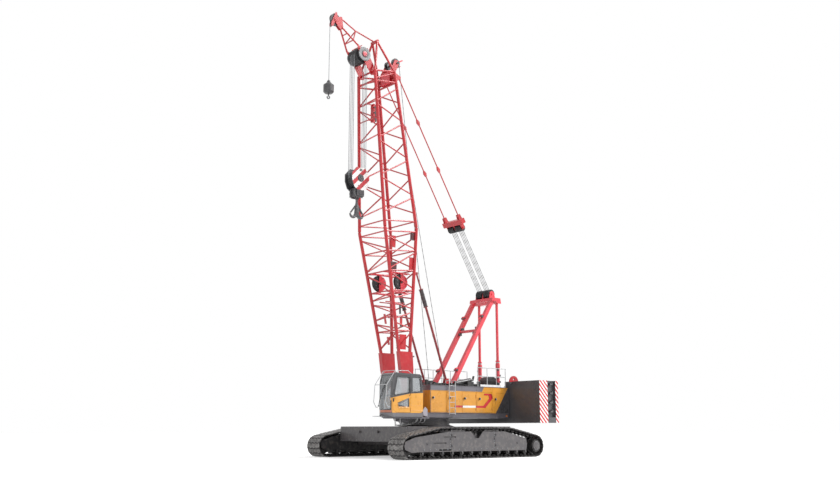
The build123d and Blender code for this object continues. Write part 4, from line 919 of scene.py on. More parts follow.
for side, y in (("left", TRACK_Y), ("right", -TRACK_Y)):
    castings = make_shoes(side, y, "track_shoes", make_shoe_body(), track_steel)
    pads = make_shoes(side, y, "track_pads", make_shoe_pad(), worn_pad_steel)
    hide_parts(f"{side}_track")
    print(side, "track:", len(castings.data.polygons) + len(pads.data.polygons), "faces")

# %% [markdown]
# ## Covers and caps on the carrier
# On the real tracks the drive gear at the rear hides behind a round pale cover with a ring of bolts, every bottom
# roller and the front wheel show an axle cap, and steel pins hold the side frames to the carrier's arms. These
# are turned parts, so each is a short profile spun round its axle, and the bolts come from the tree.

# %% Drive covers, axle caps and frame pins
DRIVE = (-4.255, 0.56)
ROLLER_PITCH = 7.0 / 11


def mirrored_y(y, side):
    """A distance from the left track's middle, as Y on either side."""
    return side * (TRACK_Y + y)


def make_carrier_covers():
    """The round covers and caps of both tracks, and the spots of their bolts."""
    covers, caps, spots = bmesh.new(), bmesh.new(), []
    for side in (1, -1):
        out = (0, side, 0)
        x, z = DRIVE
        add_turned(covers, (x, mirrored_y(0.49, side), z), out,
                   [(0, 0.245), (0.028, 0.245), (0.034, 0.235), (0.034, 0.13), (0.052, 0.12), (0.052, 0.001)], 40)
        spots += axle_spots(x, mirrored_y(0.524, side), z, 0.205, 12, out)
        for k in range(12):
            add_turned(caps, (-3.5 + k * ROLLER_PITCH, mirrored_y(0.40, side), 0.29), out,
                       [(0, 0.05), (0.055, 0.05), (0.062, 0.042), (0.062, 0.001)], 16)
        for px, pz in ((1.62, 1.13), (1.62, 0.62), (-1.36, 1.13), (-1.36, 0.62), (3.2, 0.72), (-2.9, 0.72)):
            add_turned(caps, (px, mirrored_y(0.435, side), pz), out,
                       [(0, 0.045), (0.03, 0.045), (0.036, 0.038), (0.036, 0.001)], 18)
    finish_piece("drive_covers", covers, "undercarriage", carrier_enamel)
    finish_piece("axle_caps", caps, "undercarriage", charcoal_enamel)
    add_bolts("drive_cover_bolts", "undercarriage", spots, 0.013)
    return len(spots)


print("drive cover bolts:", make_carrier_covers())

# %% [markdown]
# ## Rows of bolts
# Bolted joints are what tells a machine from a model: the slewing ring's two circles, the edges of the carrier's
# weights, the gantry's feet and the flanges of the counterweight tray. Every row is a list of places worked out
# from a rule, and the same tree sets a hexagon head on each.

# %% Ring, weight and flange bolts
RING_BOLTS = 60


def circle_spots(radius, z, count, up):
    """Spots on a level circle round the slewing axis."""
    turns = [2 * pi * k / count for k in range(count)]
    return [((radius * cos(t), radius * sin(t), z), (0, 0, up)) for t in turns]


def row_spots(start, end, count, facing):
    """Evenly spaced spots on a straight line."""
    start, end = Vector(start), Vector(end)
    return [(tuple(start.lerp(end, k / (count - 1))), facing) for k in range(count)]


def carrier_bolt_spots():
    """The bolts on the front and rear weights and on the side frames' seams."""
    spots = []
    for end in (1, -1):
        for z in (0.86, 1.46):
            spots += row_spots((end * 3.5, -2.6, z), (end * 3.5, 2.6, z), 9, (end, 0, 0))
    for side in (1, -1):
        y = side * 3.739
        for x in (1.74, -1.24):
            spots += row_spots((x, y, 0.5), (x, y, 1.2), 7, (0, side, 0))
        spots += row_spots((-3.3, y, 0.45), (3.4, y, 0.45), 19, (0, side, 0))
    return spots


add_bolts("slew_ring_bolts", "upperworks", circle_spots(1.12, 1.97, RING_BOLTS, -1), 0.018)
add_bolts("carrier_bolts", "undercarriage", carrier_bolt_spots(), 0.02)
gantry_feet = []
for side in (1, -1):
    for x, z in ((-0.8, 3.45), (-1.0, 3.45), (-0.8, 3.3), (-1.0, 3.3)):
        gantry_feet.append(((x, side * 0.83, z), (0, side, 0)))
add_bolts("gantry_foot_bolts", "upperworks", gantry_feet, 0.018)
print("bolts set on the ring, the carrier and the gantry's feet")

# %% [markdown]
# ## Trim on the machinery houses
# Each house panel has a black ball latch on a round pale plate near its front edge, at breast height. The roof's edge
# carries a white strip near the rear; the rear quarter's row of cooling slats, which stands in front of the radiator
# on the right side, is left out. A latch on a door has to swing with it, so each door's latch is its own piece on
# that door's body, and the fixed panel's latch rides on the upperworks.

# %% Latches and roof strip
LATCHES = {"door_1": 0.95, "fixed": -0.19, "door_2": -1.26, "door_3": -2.34, "rear": -3.53}
LATCH_Z = 2.96
HOUSE_SIDE = 1.6


def add_latch(plates, balls, x, side):
    """A round plate with a black ball handle on it."""
    face = HOUSE_SIDE - 0.003
    add_turned(plates, (x - 0.075, side * face, LATCH_Z), (0, side, 0),
               [(0, 0.062), (0.006, 0.062), (0.009, 0.055), (0.009, 0.001)], 24)
    add_turned(balls, (x, side * face, LATCH_Z), (0, side, 0),
               [(0, 0.022), (0.02, 0.022), (0.026, 0.05), (0.045, 0.062), (0.064, 0.05), (0.075, 0.02),
                (0.077, 0.001)], 20)


for side_name, side in (("left", 1), ("right", -1)):
    for place, x in LATCHES.items():
        body = f"{side_name}_house_{place}" if "door" in place else "upperworks"
        plates, balls = bmesh.new(), bmesh.new()
        add_latch(plates, balls, x, side)
        finish_piece(f"{side_name}_{place}_latch_plate", plates, body, rail_enamel)
        finish_piece(f"{side_name}_{place}_latch_ball", balls, body, rubber)


def make_house_trim():
    """The white strip on the roof's edges, gutters, corner guards and the kick plates under the doors."""
    strip, gutters = bmesh.new(), bmesh.new()
    for side in (1, -1):
        y0, y1 = sorted((side * 1.565, side * 1.598))
        add_box(strip, (-4.01, -2.46), (y0, y1), (3.599, 3.715))
        y0, y1 = sorted((side * 1.598, side * 1.622))
        add_box(gutters, (-4.55, 1.11), (y0, y1), (3.578, 3.6))
        add_box(gutters, (-4.55, 1.11), (y0, y1), (2.212, 2.226))
        for x in (1.09, -4.545):
            add_box(gutters, (x - 0.012, x + 0.012), (y0, y1 - side * 0.012 if side > 0 else y1), (2.23, 3.575))
    finish_piece("roof_edge_strips", strip, "upperworks", strip_white, 0.004)
    finish_piece("house_gutters", gutters, "upperworks", deck_enamel, 0.003)


strip_white = plain_surface("white_sheet_enamel", "#d9dadb", "#f0f0ee", 200, 0.4)
make_house_trim()
print("latches:", 2 * len(LATCHES))

# %% [markdown]
# ## What stands on the roof
# Between the handrails the roof carries a muffler, an air hood, boxes and hatches, which are CAD solids, and
# around them a layer of small black parts: hoses that run from the winches to the cab, filters, catches on the
# hatches, and the grid of the walkway. Hoses are smooth lines with a few turning points. They are tied down
# along their length, so they are fixed pieces and not free cords.

# %% Hoses, filters, hatch catches and walkway bars
def add_hose(mesh, points, radius=0.024):
    """A hose along a smooth line."""
    add_tube(mesh, smooth_line(points), radius, 8)


def make_roof_hoses():
    """Bundles of hoses from the winches along the left roof to the cab, and down behind the boom's foot."""
    mesh = bmesh.new()
    for k in range(4):
        y = 0.94 + 0.055 * k
        add_hose(mesh, [(-3.0, y, 3.63), (-2.4, y, 3.66 + 0.01 * k), (-1.4, y - 0.02, 3.64), (-0.4, y, 3.68),
                        (0.3, y + 0.02, 3.63), (0.95, y + 0.04, 3.63)])
    for k in range(3):
        y = 1.46 + 0.05 * k
        add_hose(mesh, [(-1.5, y, 3.63), (-1.0, y + 0.02, 3.7), (-0.5, y - 0.01, 3.64), (0.2, y, 3.69),
                        (0.8, y - 0.03, 3.64)], 0.02)
    for k in range(3):
        y = 0.66 + 0.06 * k
        add_hose(mesh, [(-0.4, y, 3.585), (0.0, y, 3.76), (0.5, y, 3.8), (0.95, y, 3.6), (1.12, y, 3.3)], 0.026)
    finish_piece("roof_hoses", mesh, "upperworks", rubber)


def make_roof_parts():
    """Filters, junction boxes, catches and lifting eyes on the roofs."""
    dark, steel = bmesh.new(), bmesh.new()
    for side in (1, -1):
        for x, y, size in ((0.95, 1.12, 0.09), (-2.55, 1.36, 0.1), (-4.15, 1.2, 0.11)):
            add_turned(dark, (x, side * y, 3.598), (0, 0, 1),
                       [(0, size), (0.2, size), (0.22, size * 1.15), (0.27, size * 1.1), (0.29, size * 0.5),
                        (0.3, 0.001)], 20)
        for x in (-4.4, -0.75, 0.98):
            add_tube(steel, [(x + 0.06 * cos(t), side * 1.5, 3.6 + 0.075 * sin(t)) for t in
                             [pi * k / 8 for k in range(9)]], 0.014, 8)
    for x in (0.2, 0.66):
        add_box(steel, (x - 0.03, x + 0.03), (1.398, 1.416), (3.64, 3.69))
        add_tube(steel, [(x - 0.05, 1.2, 3.7), (x - 0.05, 1.2, 3.74), (x + 0.05, 1.2, 3.74), (x + 0.05, 1.2, 3.7)],
                 0.009, 6)
    for x, width in ((-1.06, 0.3), (-2.42, 0.22), (-0.68, 0.18)):
        add_box(dark, (x - width / 2, x + width / 2), (0.86, 0.93), (3.598, 3.78))
    finish_piece("roof_filters_and_boxes", dark, "upperworks", black_enamel, 0.006)
    finish_piece("roof_catches_and_eyes", steel, "upperworks", bolt_zinc)


def make_walkway():
    """Grip strips across the left roof's walkway, between the ladder and the gantry."""
    mesh = bmesh.new()
    count = 34
    for k in range(count):
        x = -3.0 + 3.9 * k / (count - 1)
        add_box(mesh, (x - 0.012, x + 0.012), (0.84, 0.93), (3.5995, 3.609))
        add_box(mesh, (x - 0.012, x + 0.012), (-1.56, -1.42), (3.5995, 3.609))
    finish_piece("walkway_grip_strips", mesh, "upperworks", deck_enamel)


make_roof_hoses()
make_roof_parts()
make_walkway()
print("roof parts made")

# %% [markdown]
# ## Red covers for the lifting plates
# The two half-round plates that stick up from the counterweight are red on the real machine, while the CAD keeps
# them in one node with the charcoal slabs. A thin red shell over each plate gives it its own paint.

# %% Lifting plates in red
LUG_X, LUG_Z = -4.76, 3.9
EYE_Z, EYE_RADIUS = 4.03, 0.062


def make_lug_covers():
    """Half-round skins on both faces and over the rim of each plate, open at the eye."""
    mesh = bmesh.new()
    steps = 20
    for side in (1, -1):
        for face in (side * 1.83 - 0.0325, side * 1.83 + 0.0325):
            rings = [[], []]
            for k in range(steps + 1):
                turn = pi * k / steps
                outer = (LUG_X + 0.34 * cos(turn), LUG_Z + 0.333 * sin(turn))
                around = atan2(outer[1] - EYE_Z, outer[0] - LUG_X)
                inner = (LUG_X + EYE_RADIUS * cos(around), EYE_Z + EYE_RADIUS * sin(around))
                rings[0].append(outer)
                rings[1].append(inner)
            for k in range(steps):
                quad = [rings[0][k], rings[0][k + 1], rings[1][k + 1], rings[1][k]]
                add_plate(mesh, quad, "y", face - 0.0015, face + 0.0015)
            add_plate(mesh, [rings[0][0], rings[1][0], rings[1][-1], rings[0][-1]], "y", face - 0.0015, face + 0.0015)
        rim = [(LUG_X + 0.3405 * cos(pi * k / steps), LUG_Z + 0.3335 * sin(pi * k / steps)) for k in range(steps + 1)]
        for a, b in zip(rim, rim[1:]):
            inward = [tuple(Vector(p).lerp(Vector((LUG_X, LUG_Z)), 0.012)) for p in (b, a)]
            add_plate(mesh, [a, b, *inward], "y", side * 1.83 - 0.034, side * 1.83 + 0.034)
    finish_piece("lifting_plate_covers", mesh, "upperworks", red_enamel)


make_lug_covers()
print("lifting plates covered")

# %% [markdown]
# ## Under and around the cab
# Pale pipes and a bracket hang under the cab's floor. The wiper lies across the windscreen from its foot at the
# lower corner. The glass is a leaning face, so the wiper's points are placed by a function that gives the
# windscreen's reach at any height.

# %% Pipes, bracket and wiper
def make_cab_underside():
    """Pipes and hose ends under the cab, and the swivel bracket."""
    pipes, steel = bmesh.new(), bmesh.new()
    for x, y in ((3.4, 1.6), (3.09, 1.6), (2.75, 1.3)):
        add_tube(pipes, smooth_line([(x, y, 1.9), (x, y, 1.72), (x - 0.05, y - 0.02, 1.62), (x - 0.16, y - 0.1, 1.58),
                                     (2.2, 1.2, 1.62), (1.5, 0.8, 1.75), (1.3, 0.72, 2.0)]), 0.032, 8)
    for x in (1.7, 1.95, 2.2):
        add_tube(pipes, smooth_line([(x, 1.85, 1.95), (x - 0.02, 1.8, 1.8), (x - 0.2, 1.4, 1.7), (1.35, 0.8, 1.85)]),
                 0.025, 8)
    add_plate(steel, [(2.55, 1.9), (3.46, 1.9), (3.4, 1.78), (2.9, 1.72), (2.6, 1.72)], "y", 1.52, 1.6)
    for x in (2.68, 2.95, 3.3):
        add_turned(steel, (x, 1.6, 1.82), (0, 1, 0), [(0, 0.04), (0.03, 0.04), (0.035, 0.03), (0.035, 0.001)], 16)
    finish_piece("cab_pipes", pipes, "upperworks", strip_white)
    finish_piece("cab_bracket", steel, "upperworks", deck_enamel, 0.006)


def windscreen_x(z):
    """How far forward the cab's front reaches at a level, 10 mm outside the glass."""
    line = [(2.08, 4.06), (2.3, 4.11), (2.7, 4.11), (3.15, 4.06), (4.01, 3.78)]
    for (z0, x0), (z1, x1) in zip(line, line[1:]):
        if z <= z1:
            return x0 + (x1 - x0) * (z - z0) / (z1 - z0) + 0.01
    return 3.79


def make_wiper():
    """The wiper's arm and blade over the windscreen."""
    mesh = bmesh.new()
    arm = [(windscreen_x(z) + 0.012, y, z) for y, z in ((1.22, 2.5), (1.3, 2.85), (1.42, 3.3))]
    add_tube(mesh, arm, 0.011, 6)
    blade = [(windscreen_x(z) + 0.008, y, z) for y, z in ((1.3, 2.75), (1.38, 3.1), (1.48, 3.45), (1.54, 3.72))]
    add_tube(mesh, blade, 0.014, 6)
    add_turned(mesh, (windscreen_x(2.5) - 0.01, 1.22, 2.5), (1, 0, 0), [(0, 0.035), (0.03, 0.035), (0.04, 0.02),
                                                                        (0.04, 0.001)], 14)
    finish_piece("windscreen_wiper", mesh, "upperworks", rubber)


make_cab_underside()
make_wiper()
print("cab surroundings made")

# %% [markdown]
# ## On the cab's sides
# Thin rubber seals frame every pane, a pale raised frame runs round the three-cornered window in the door,
# and a black grip sits in the door's front edge. The door's seals and grip ride on the door's body.

# %% Seals, frame and door grip
def frame_bars(mesh, corners, axis, level, radius):
    """A closed run of round bars round a window, in the plane of one axis."""
    place = {"x": lambda a, b: (level, a, b), "y": lambda a, b: (a, level, b)}[axis]
    points = [place(a, b) for a, b in corners]
    for a, b in zip(points, points[1:] + points[:1]):
        add_tube(mesh, [a, b], radius, 8)


door_seals = bmesh.new()
frame_bars(door_seals, [(2.83, 3.15), (3.77, 3.0), (3.77, 3.08), (3.6, 3.88), (2.83, 3.88)], "y", 2.0, 0.014)
finish_piece("door_window_seal", door_seals, "cab_door", rubber)
door_frame = bmesh.new()
frame_bars(door_frame, [(3.585, 2.575), (2.845, 2.875), (2.845, 2.425), (3.52, 2.425)], "y", 1.999, 0.02)
finish_piece("door_lower_window_frame", door_frame, "cab_door", cab_enamel)
grip = bmesh.new()
add_plate(grip, [(3.81, 2.7), (3.85, 2.69), (3.875, 2.74), (3.875, 2.82), (3.845, 2.86), (3.805, 2.84)], "y",
          1.997, 2.03)
add_tube(grip, smooth_line([(2.82, 2.0, 3.0), (2.83, 2.05, 3.04), (2.83, 2.05, 3.3), (2.82, 2.0, 3.34)]), 0.012, 8)
finish_piece("door_grip", grip, "cab_door", rubber, 0.004)
cab_seals = bmesh.new()
frame_bars(cab_seals, [(2.07, 3.21), (2.65, 3.17), (2.65, 3.89), (2.155, 3.89)], "y", 2.0, 0.013)
frame_bars(cab_seals, [(2.07, 3.21), (3.85, 3.01), (3.63, 3.94), (2.155, 3.89)], "y", 1.0, 0.013)
finish_piece("cab_side_seals", cab_seals, "upperworks", rubber)
hatch = bmesh.new()
frame_bars(hatch, [(2.09, 2.54), (2.27, 2.54), (2.27, 2.74), (2.09, 2.74)], "y", 2.0, 0.008)
add_tube(hatch, [(2.72, 2.002, 2.29), (1.97, 2.002, 2.29)], 0.01, 8)
add_tube(hatch, [(2.7, 2.002, 2.52), (2.0, 2.002, 2.52)], 0.006, 8)
finish_piece("cab_side_trim", hatch, "upperworks", cab_enamel)
print("seals and grips made")

# %% [markdown]
# ## Inside the cab
# Through the glass show the driver's seat, two consoles with levers, a screen on a stalk and the floor pedals.
# The dark blind behind the door's window is what the photograph shows there. The seat is upholstered: a seat
# cushion, a back and a head rest, each a closed form with rounded edges, pulled in along its seams. Cloth
# simulation gives such cushions their swell: the form is remeshed, blown up a little, and held to a small travel.

# %% Consoles, levers and pedals
def make_cab_inside():
    """The consoles on both sides of the seat, the levers, the screen, the pedals and the blind."""
    boxes, levers = bmesh.new(), bmesh.new()
    for y0, y1 in ((1.15, 1.27), (1.78, 1.9)):
        add_plate(boxes, [(2.5, 2.06), (3.0, 2.06), (3.1, 2.5), (3.06, 2.66), (2.55, 2.62)], "y", y0, y1)
        middle = (y0 + y1) / 2
        add_tube(levers, smooth_line([(3.0, middle, 2.64), (3.02, middle, 2.75), (2.99, middle, 2.84)]), 0.009, 8)
        add_turned(levers, (2.99, middle, 2.83), (0, 0, 1), [(0, 0.012), (0.02, 0.022), (0.07, 0.024), (0.1, 0.016),
                                                            (0.11, 0.001)], 14)
    add_plate(boxes, [(3.66, 2.7), (3.7, 2.7), (3.66, 3.02), (3.62, 3.02)], "y", 1.62, 1.86)
    add_tube(levers, [(3.75, 1.74, 2.3), (3.68, 1.74, 2.72)], 0.014, 8)
    for y in (1.38, 1.52, 1.66):
        add_plate(levers, [(3.5, 2.06), (3.62, 2.16), (3.64, 2.15), (3.52, 2.045)], "y", y - 0.04, y + 0.04)
    add_plate(boxes, [(3.43, 3.36), (3.65, 3.36), (3.58, 3.82), (3.43, 3.82)], "y", 1.9, 1.925)
    add_plate(boxes, [(3.7, 2.06), (3.92, 2.06), (3.96, 2.34), (3.78, 2.4)], "y", 1.2, 1.8)
    finish_piece("cab_consoles", boxes, "upperworks", rubber, 0.008)
    finish_piece("cab_levers", levers, "upperworks", black_enamel)


make_cab_inside()
print("consoles and levers made")

# %% The seat's cloth and base
THREAD_MM = 14


def make_seat_cloth():
    """Woven polyester, charcoal: a fine crossed weave, drawn at 14 mm so that it shows from outside the cab."""
    material, tree, place = start_material("woven_polyester_cloth")
    waves = []
    for direction in ("X", "Z"):
        wave = add_node(tree, "ShaderNodeTexWave", {"Vector": place, "Scale": 1000 / THREAD_MM / 20, "Distortion": 0.4},
                        bands_direction=direction)
        waves.append(wave.outputs["Fac"])
    weave = math(tree, "MULTIPLY", waves[0], waves[1])
    worn = patches(tree, place, 220)
    colour = mixed(tree, scaled(tree, weave, 0.2, 0.8), linear("#2a2b2f"), linear("#44464b"))
    faded = mixed(tree, scaled(tree, worn, 0, 0.3, 0.45, 0.7), colour, linear("#5a5c60"))
    relief = add_node(tree, "ShaderNodeBump", {"Height": weave, "Strength": 0.4, "Distance": 0.002})
    return end_material(material, {"Base Color": faded, "Roughness": 0.85, "Sheen Weight": 0.3,
                                   "Normal": relief.outputs[0]})


seat_cloth = make_seat_cloth()


def make_seat_base():
    """The box, the slides and the arm rests' posts under the cushions."""
    mesh = bmesh.new()
    add_plate(mesh, [(2.46, 2.062), (2.99, 2.062), (2.99, 2.26), (2.47, 2.3)], "y", 1.31, 1.74)
    add_plate(mesh, [(2.44, 2.3), (3.0, 2.28), (3.0, 2.33), (2.44, 2.36)], "y", 1.3, 1.75)
    base = finish_piece("seat_base", mesh, "upperworks", rubber, 0.01)
    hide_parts("driver_seat")


make_seat_base()
print("seat base made")

# %% The seat's cushions
CUSHIONS = {
    "seat_cushion": ([(2.47, 2.37), (3.03, 2.34), (3.035, 2.43), (2.98, 2.50), (2.5, 2.49)], 1.315, 1.735),
    "seat_back": ([(2.435, 2.50), (2.575, 2.50), (2.53, 2.92), (2.405, 2.92)], 1.33, 1.72),
    "head_rest": ([(2.40, 2.95), (2.50, 2.95), (2.475, 3.125), (2.375, 3.12)], 1.42, 1.63),
}
VOXEL = 0.012
PUFF_TRAVEL = 0.012


def puffed(piece):
    """Swells a closed form like a filled cushion, by a short cloth run with its travel capped."""
    start = [v.co.copy() for v in piece.data.vertices]
    cloth = piece.modifiers.new("filling", "CLOTH")
    cloth.settings.use_pressure = True
    cloth.settings.uniform_pressure_force = 4
    cloth.settings.effector_weights.gravity = 0
    scene = bpy.context.scene
    for frame_number in range(1, 21):
        scene.frame_set(frame_number)
    swollen = evaluated_mesh(piece)
    piece.modifiers.remove(cloth)
    scene.frame_set(1)
    for vertex, before, after in zip(piece.data.vertices, start, swollen.vertices):
        move = after.co - before
        vertex.co = before + move * min(1.0, PUFF_TRAVEL / max(move.length, 1e-9))
    bpy.data.meshes.remove(swollen)


def make_cushion(name, outline, low, high):
    """One upholstered cushion: a form, remeshed, swollen and smoothed, with a seam pressed in round its edge."""
    mesh = bmesh.new()
    inset = 0.012
    middle = Vector((sum(p[0] for p in outline) / len(outline), sum(p[1] for p in outline) / len(outline)))
    drawn_in = [tuple(Vector(p) + (middle - Vector(p)).normalized() * inset) for p in outline]
    add_plate(mesh, drawn_in, "y", low + inset, high - inset)
    piece = link_object(name, mesh_data(name, mesh))
    remesh = piece.modifiers.new("even_faces", "REMESH")
    remesh.mode = "VOXEL"
    remesh.voxel_size = VOXEL
    even = evaluated_mesh(piece)
    piece.modifiers.remove(remesh)
    piece.data = even
    puffed(piece)
    across = (low + high) / 2
    for vertex in piece.data.vertices:
        from_edge = (high - low) / 2 - abs(vertex.co.y - across)
        groove = 0.007 * (1 if abs(from_edge - 0.07) < VOXEL * 0.7 else 0)
        vertex.co += (Vector((middle.x, vertex.co.y, middle.y)) - vertex.co).normalized() * groove
    smoother = piece.modifiers.new("soft_surface", "SUBSURF")
    smoother.levels = smoother.render_levels = 1
    for face in piece.data.polygons:
        face.use_smooth = True
    paint(piece, seat_cloth)
    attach(piece, "upperworks")
    return len(piece.data.polygons)


for name, (outline, low, high) in CUSHIONS.items():
    print(name, make_cushion(name, outline, low, high), "faces")

# %% [markdown]
# ## Fittings inside the boom
# A working boom carries more than its lattice: rope rollers between two frames of the foot section, panels and a
# cable box on the side face, a small platform with a row of bolts above the leg, and a guide box high in the top
# section. Their places come from the photograph, taken on the face of the boom that each one hangs on. The foot
# section's chords are straight lines, so a function gives the boom's reach at any height.

# %% Where the boom's chords are
FOOT_FRONT = ((2.45, 5.19), (3.69, 11.44))
FOOT_REAR = ((1.73, 5.19), (1.587, 11.66))
FOOT_HALF = ((0.715, 5.19), (1.062, 11.44))


def at_height(line, z):
    """The X of a chord's line at a height."""
    (x0, z0), (x1, z1) = line
    return x0 + (x1 - x0) * (z - z0) / (z1 - z0)


def boom_half(z):
    """Half the width of the foot section at a height."""
    return at_height(FOOT_HALF, z)


print("foot section half width at 8.8 m:", round(boom_half(8.8), 3))

# %% Rope rollers with red guards
ROLLERS = ((2.72, -0.62), (2.2, 0.5))
ROLLER_Z = 8.83
FRAME_LEVELS = (8.3, 9.3)


def make_rope_rollers():
    """Two sheaves with red half covers, each between two bars that run fore and aft on the frames."""
    dark, red, spots = bmesh.new(), bmesh.new(), []
    for x, y in ROLLERS:
        add_turned(dark, (x, y - 0.07, ROLLER_Z), (0, 1, 0),
                   [(0, 0.40), (0.02, 0.42), (0.045, 0.36), (0.085, 0.36), (0.11, 0.42), (0.13, 0.40)], 40)
        add_turned(dark, (x, y - 0.16, ROLLER_Z), (0, 1, 0), [(0, 0.06), (0.32, 0.06)], 16)
        for face in (y + 0.085, y - 0.115):
            turns = [radians(100 + 14 * k) for k in range(13)]
            cover = [(x + 0.4 * cos(t), ROLLER_Z + 0.4 * sin(t)) for t in turns]
            add_plate(red, cover, "y", face, face + 0.03)
        for level in FRAME_LEVELS:
            front, rear = at_height(FOOT_FRONT, level), at_height(FOOT_REAR, level)
            for bar_y in (y + 0.1, y - 0.1):
                add_tube(red, [(rear, bar_y, level), (front, bar_y, level)], 0.032, 10)
            for face in (y + 0.085, y - 0.115):
                add_plate(red, [(x - 0.06, level), (x + 0.06, level), (x + 0.06, ROLLER_Z), (x - 0.06, ROLLER_Z)],
                          "y", face + 0.004, face + 0.026)
        for k in range(8):
            turn = radians(-60 + 36 * k)
            spots.append(((x + 0.3 * cos(turn), y + 0.115, ROLLER_Z + 0.33 * sin(turn)), (0, 1, 0)))
    finish_piece("boom_rope_rollers", dark, "boom", sheave_nylon)
    finish_piece("boom_roller_guards", red, "boom", sunlit_red_enamel, 0.004)
    add_bolts("boom_roller_bolts", "boom", spots, 0.02)


make_rope_rollers()
print("rope rollers made")

# %% Panels, boxes and the platform
SIDE_PANELS = {
    "red": [((2.93, 3.16), (10.5, 11.1)), ((1.68, 1.96), (9.46, 10.12)), ((2.28, 2.42), (6.6, 7.0))],
    "deep": [((1.62, 1.88), (11.04, 11.42)), ((2.8, 3.16), (9.28, 9.76))],
}


def side_panel(mesh, span, levels, depth):
    """An upright plate that leans with the side face, with its edges folded in, between two heights."""
    (x0, x1), (z0, z1) = span, levels
    rings = []
    for z in (z0, z1):
        out = boom_half(z) - 0.02
        rings.append([(x0, out - depth, z), (x1, out - depth, z), (x1, out, z), (x0, out, z)])
    add_skin(mesh, rings)


def make_side_panels():
    """The panels and boxes on the left side face."""
    red, dark, deep, spots = bmesh.new(), bmesh.new(), bmesh.new(), []
    for colour, mesh, depth in (("red", red, 0.035), ("deep", deep, 0.12)):
        for span, levels in SIDE_PANELS[colour]:
            side_panel(mesh, span, levels, depth)
            for x in (span[0] + 0.03, span[1] - 0.03):
                for z in (levels[0] + 0.04, levels[1] - 0.04):
                    spots.append(((x, boom_half(z) - 0.02, z), (0, 1, 0)))
    side_panel(red, (1.98, 2.42), (5.36, 6.12), 0.03)
    for k in range(7):
        z = 5.42 + 0.105 * k
        for x in (2.47, 2.56):
            add_turned(dark, (x, boom_half(z) - 0.07, z), (0, 1, 0),
                       [(0, 0.028), (0.05, 0.028), (0.06, 0.02), (0.06, 0.001)], 10)
        side_panel(red, (2.43, 2.6), (z - 0.016, z + 0.016), 0.02)
    for levels in ((6.68, 7.18), (5.62, 6.02)):
        x = at_height(FOOT_FRONT, levels[0])
        add_skin(red, [[(x + dx + 0.2 * (z - levels[0]), y, z) for dx, y in
                        ((-0.03, -0.07), (0.0, -0.07), (0.0, 0.07), (-0.03, 0.07))] for z in levels])
    add_box(dark, (1.45, 1.63), (0.7, 0.76), (5.0, 5.07))
    for y in (-0.24, 0.24):
        for z, x in ((7.75, 2.0), (7.1, 1.95)):
            add_tube(dark, [(x, y, z), (x - 0.02, y, z - 0.52)], 0.05, 10)
    for y in (0.24, -0.24):
        add_tube(red, [(1.7, y, 7.8), (2.95, y, 7.8)], 0.03, 8)
    add_tube(red, [(1.97, 0.75, 7.12), (1.97, -0.75, 7.12)], 0.03, 8)
    finish_piece("boom_panels", red, "boom", red_enamel, 0.004)
    finish_piece("boom_cable_boxes", deep, "boom", deep_red_enamel, 0.006)
    finish_piece("boom_boxes", dark, "boom", charcoal_enamel, 0.005)
    add_bolts("boom_panel_bolts", "boom", spots, 0.014)


deep_red_enamel = enamel("deep_red_enamel", "#4c0c14", roughness=0.4)
make_side_panels()
print("boom panels made")

# %% The guide box in the top section
TOP_FRONT = ((3.69, 11.44), (4.12, 19.15))
TOP_HALF = ((1.063, 11.44), (0.74, 19.15))


def make_guide_box():
    """A narrow red box with dark rollers behind the front face, hung from two bars between the chords."""
    red, dark = bmesh.new(), bmesh.new()
    for z in (17.36, 18.24):
        x = at_height(TOP_FRONT, z)
        half = at_height(TOP_HALF, z)
        add_tube(red, [(x, -half, z), (x, half, z)], 0.034, 10)
        add_tube(red, [(x, 0, z), (x - 0.34, 0, z)], 0.03, 8)
    add_box(red, (3.66, 3.78), (-0.12, 0.12), (17.3, 18.3))
    add_box(dark, (3.55, 3.665), (-0.1, 0.1), (17.34, 18.26))
    for z in (17.5, 17.8, 18.1):
        add_turned(dark, (3.72, -0.15, z), (0, 1, 0), [(0, 0.05), (0.3, 0.05)], 14)
    finish_piece("boom_guide_box", red, "boom", red_enamel, 0.006)
    finish_piece("boom_guide_rollers", dark, "boom", sheave_nylon, 0.005)


make_guide_box()
print("guide box made")

# %% [markdown]
# ## The boom's head
# The near end of the sheave row is closed by a pale grey disc with a red hub, the far end by its twin. Rope
# keepers, which are small bars round the sheaves, stop the ropes from jumping off. At the back a red housing
# covers the rear sheaves' ropes, and a short arm with a dark end sticks out behind.

# %% Closing discs, keepers and rear housing
HEAD_AXLE = (4.71, 20.72)
REAR_AXLE = (2.44, 20.88)


def add_keepers(mesh, axle, reach, angles, half, radius):
    """Bars across a row of sheaves, at a reach from its axle and at angles round it."""
    for turn in map(radians, angles):
        x, z = axle[0] + reach * cos(turn), axle[1] + reach * sin(turn)
        add_tube(mesh, [(x, -half, z), (x, half, z)], radius, 8)


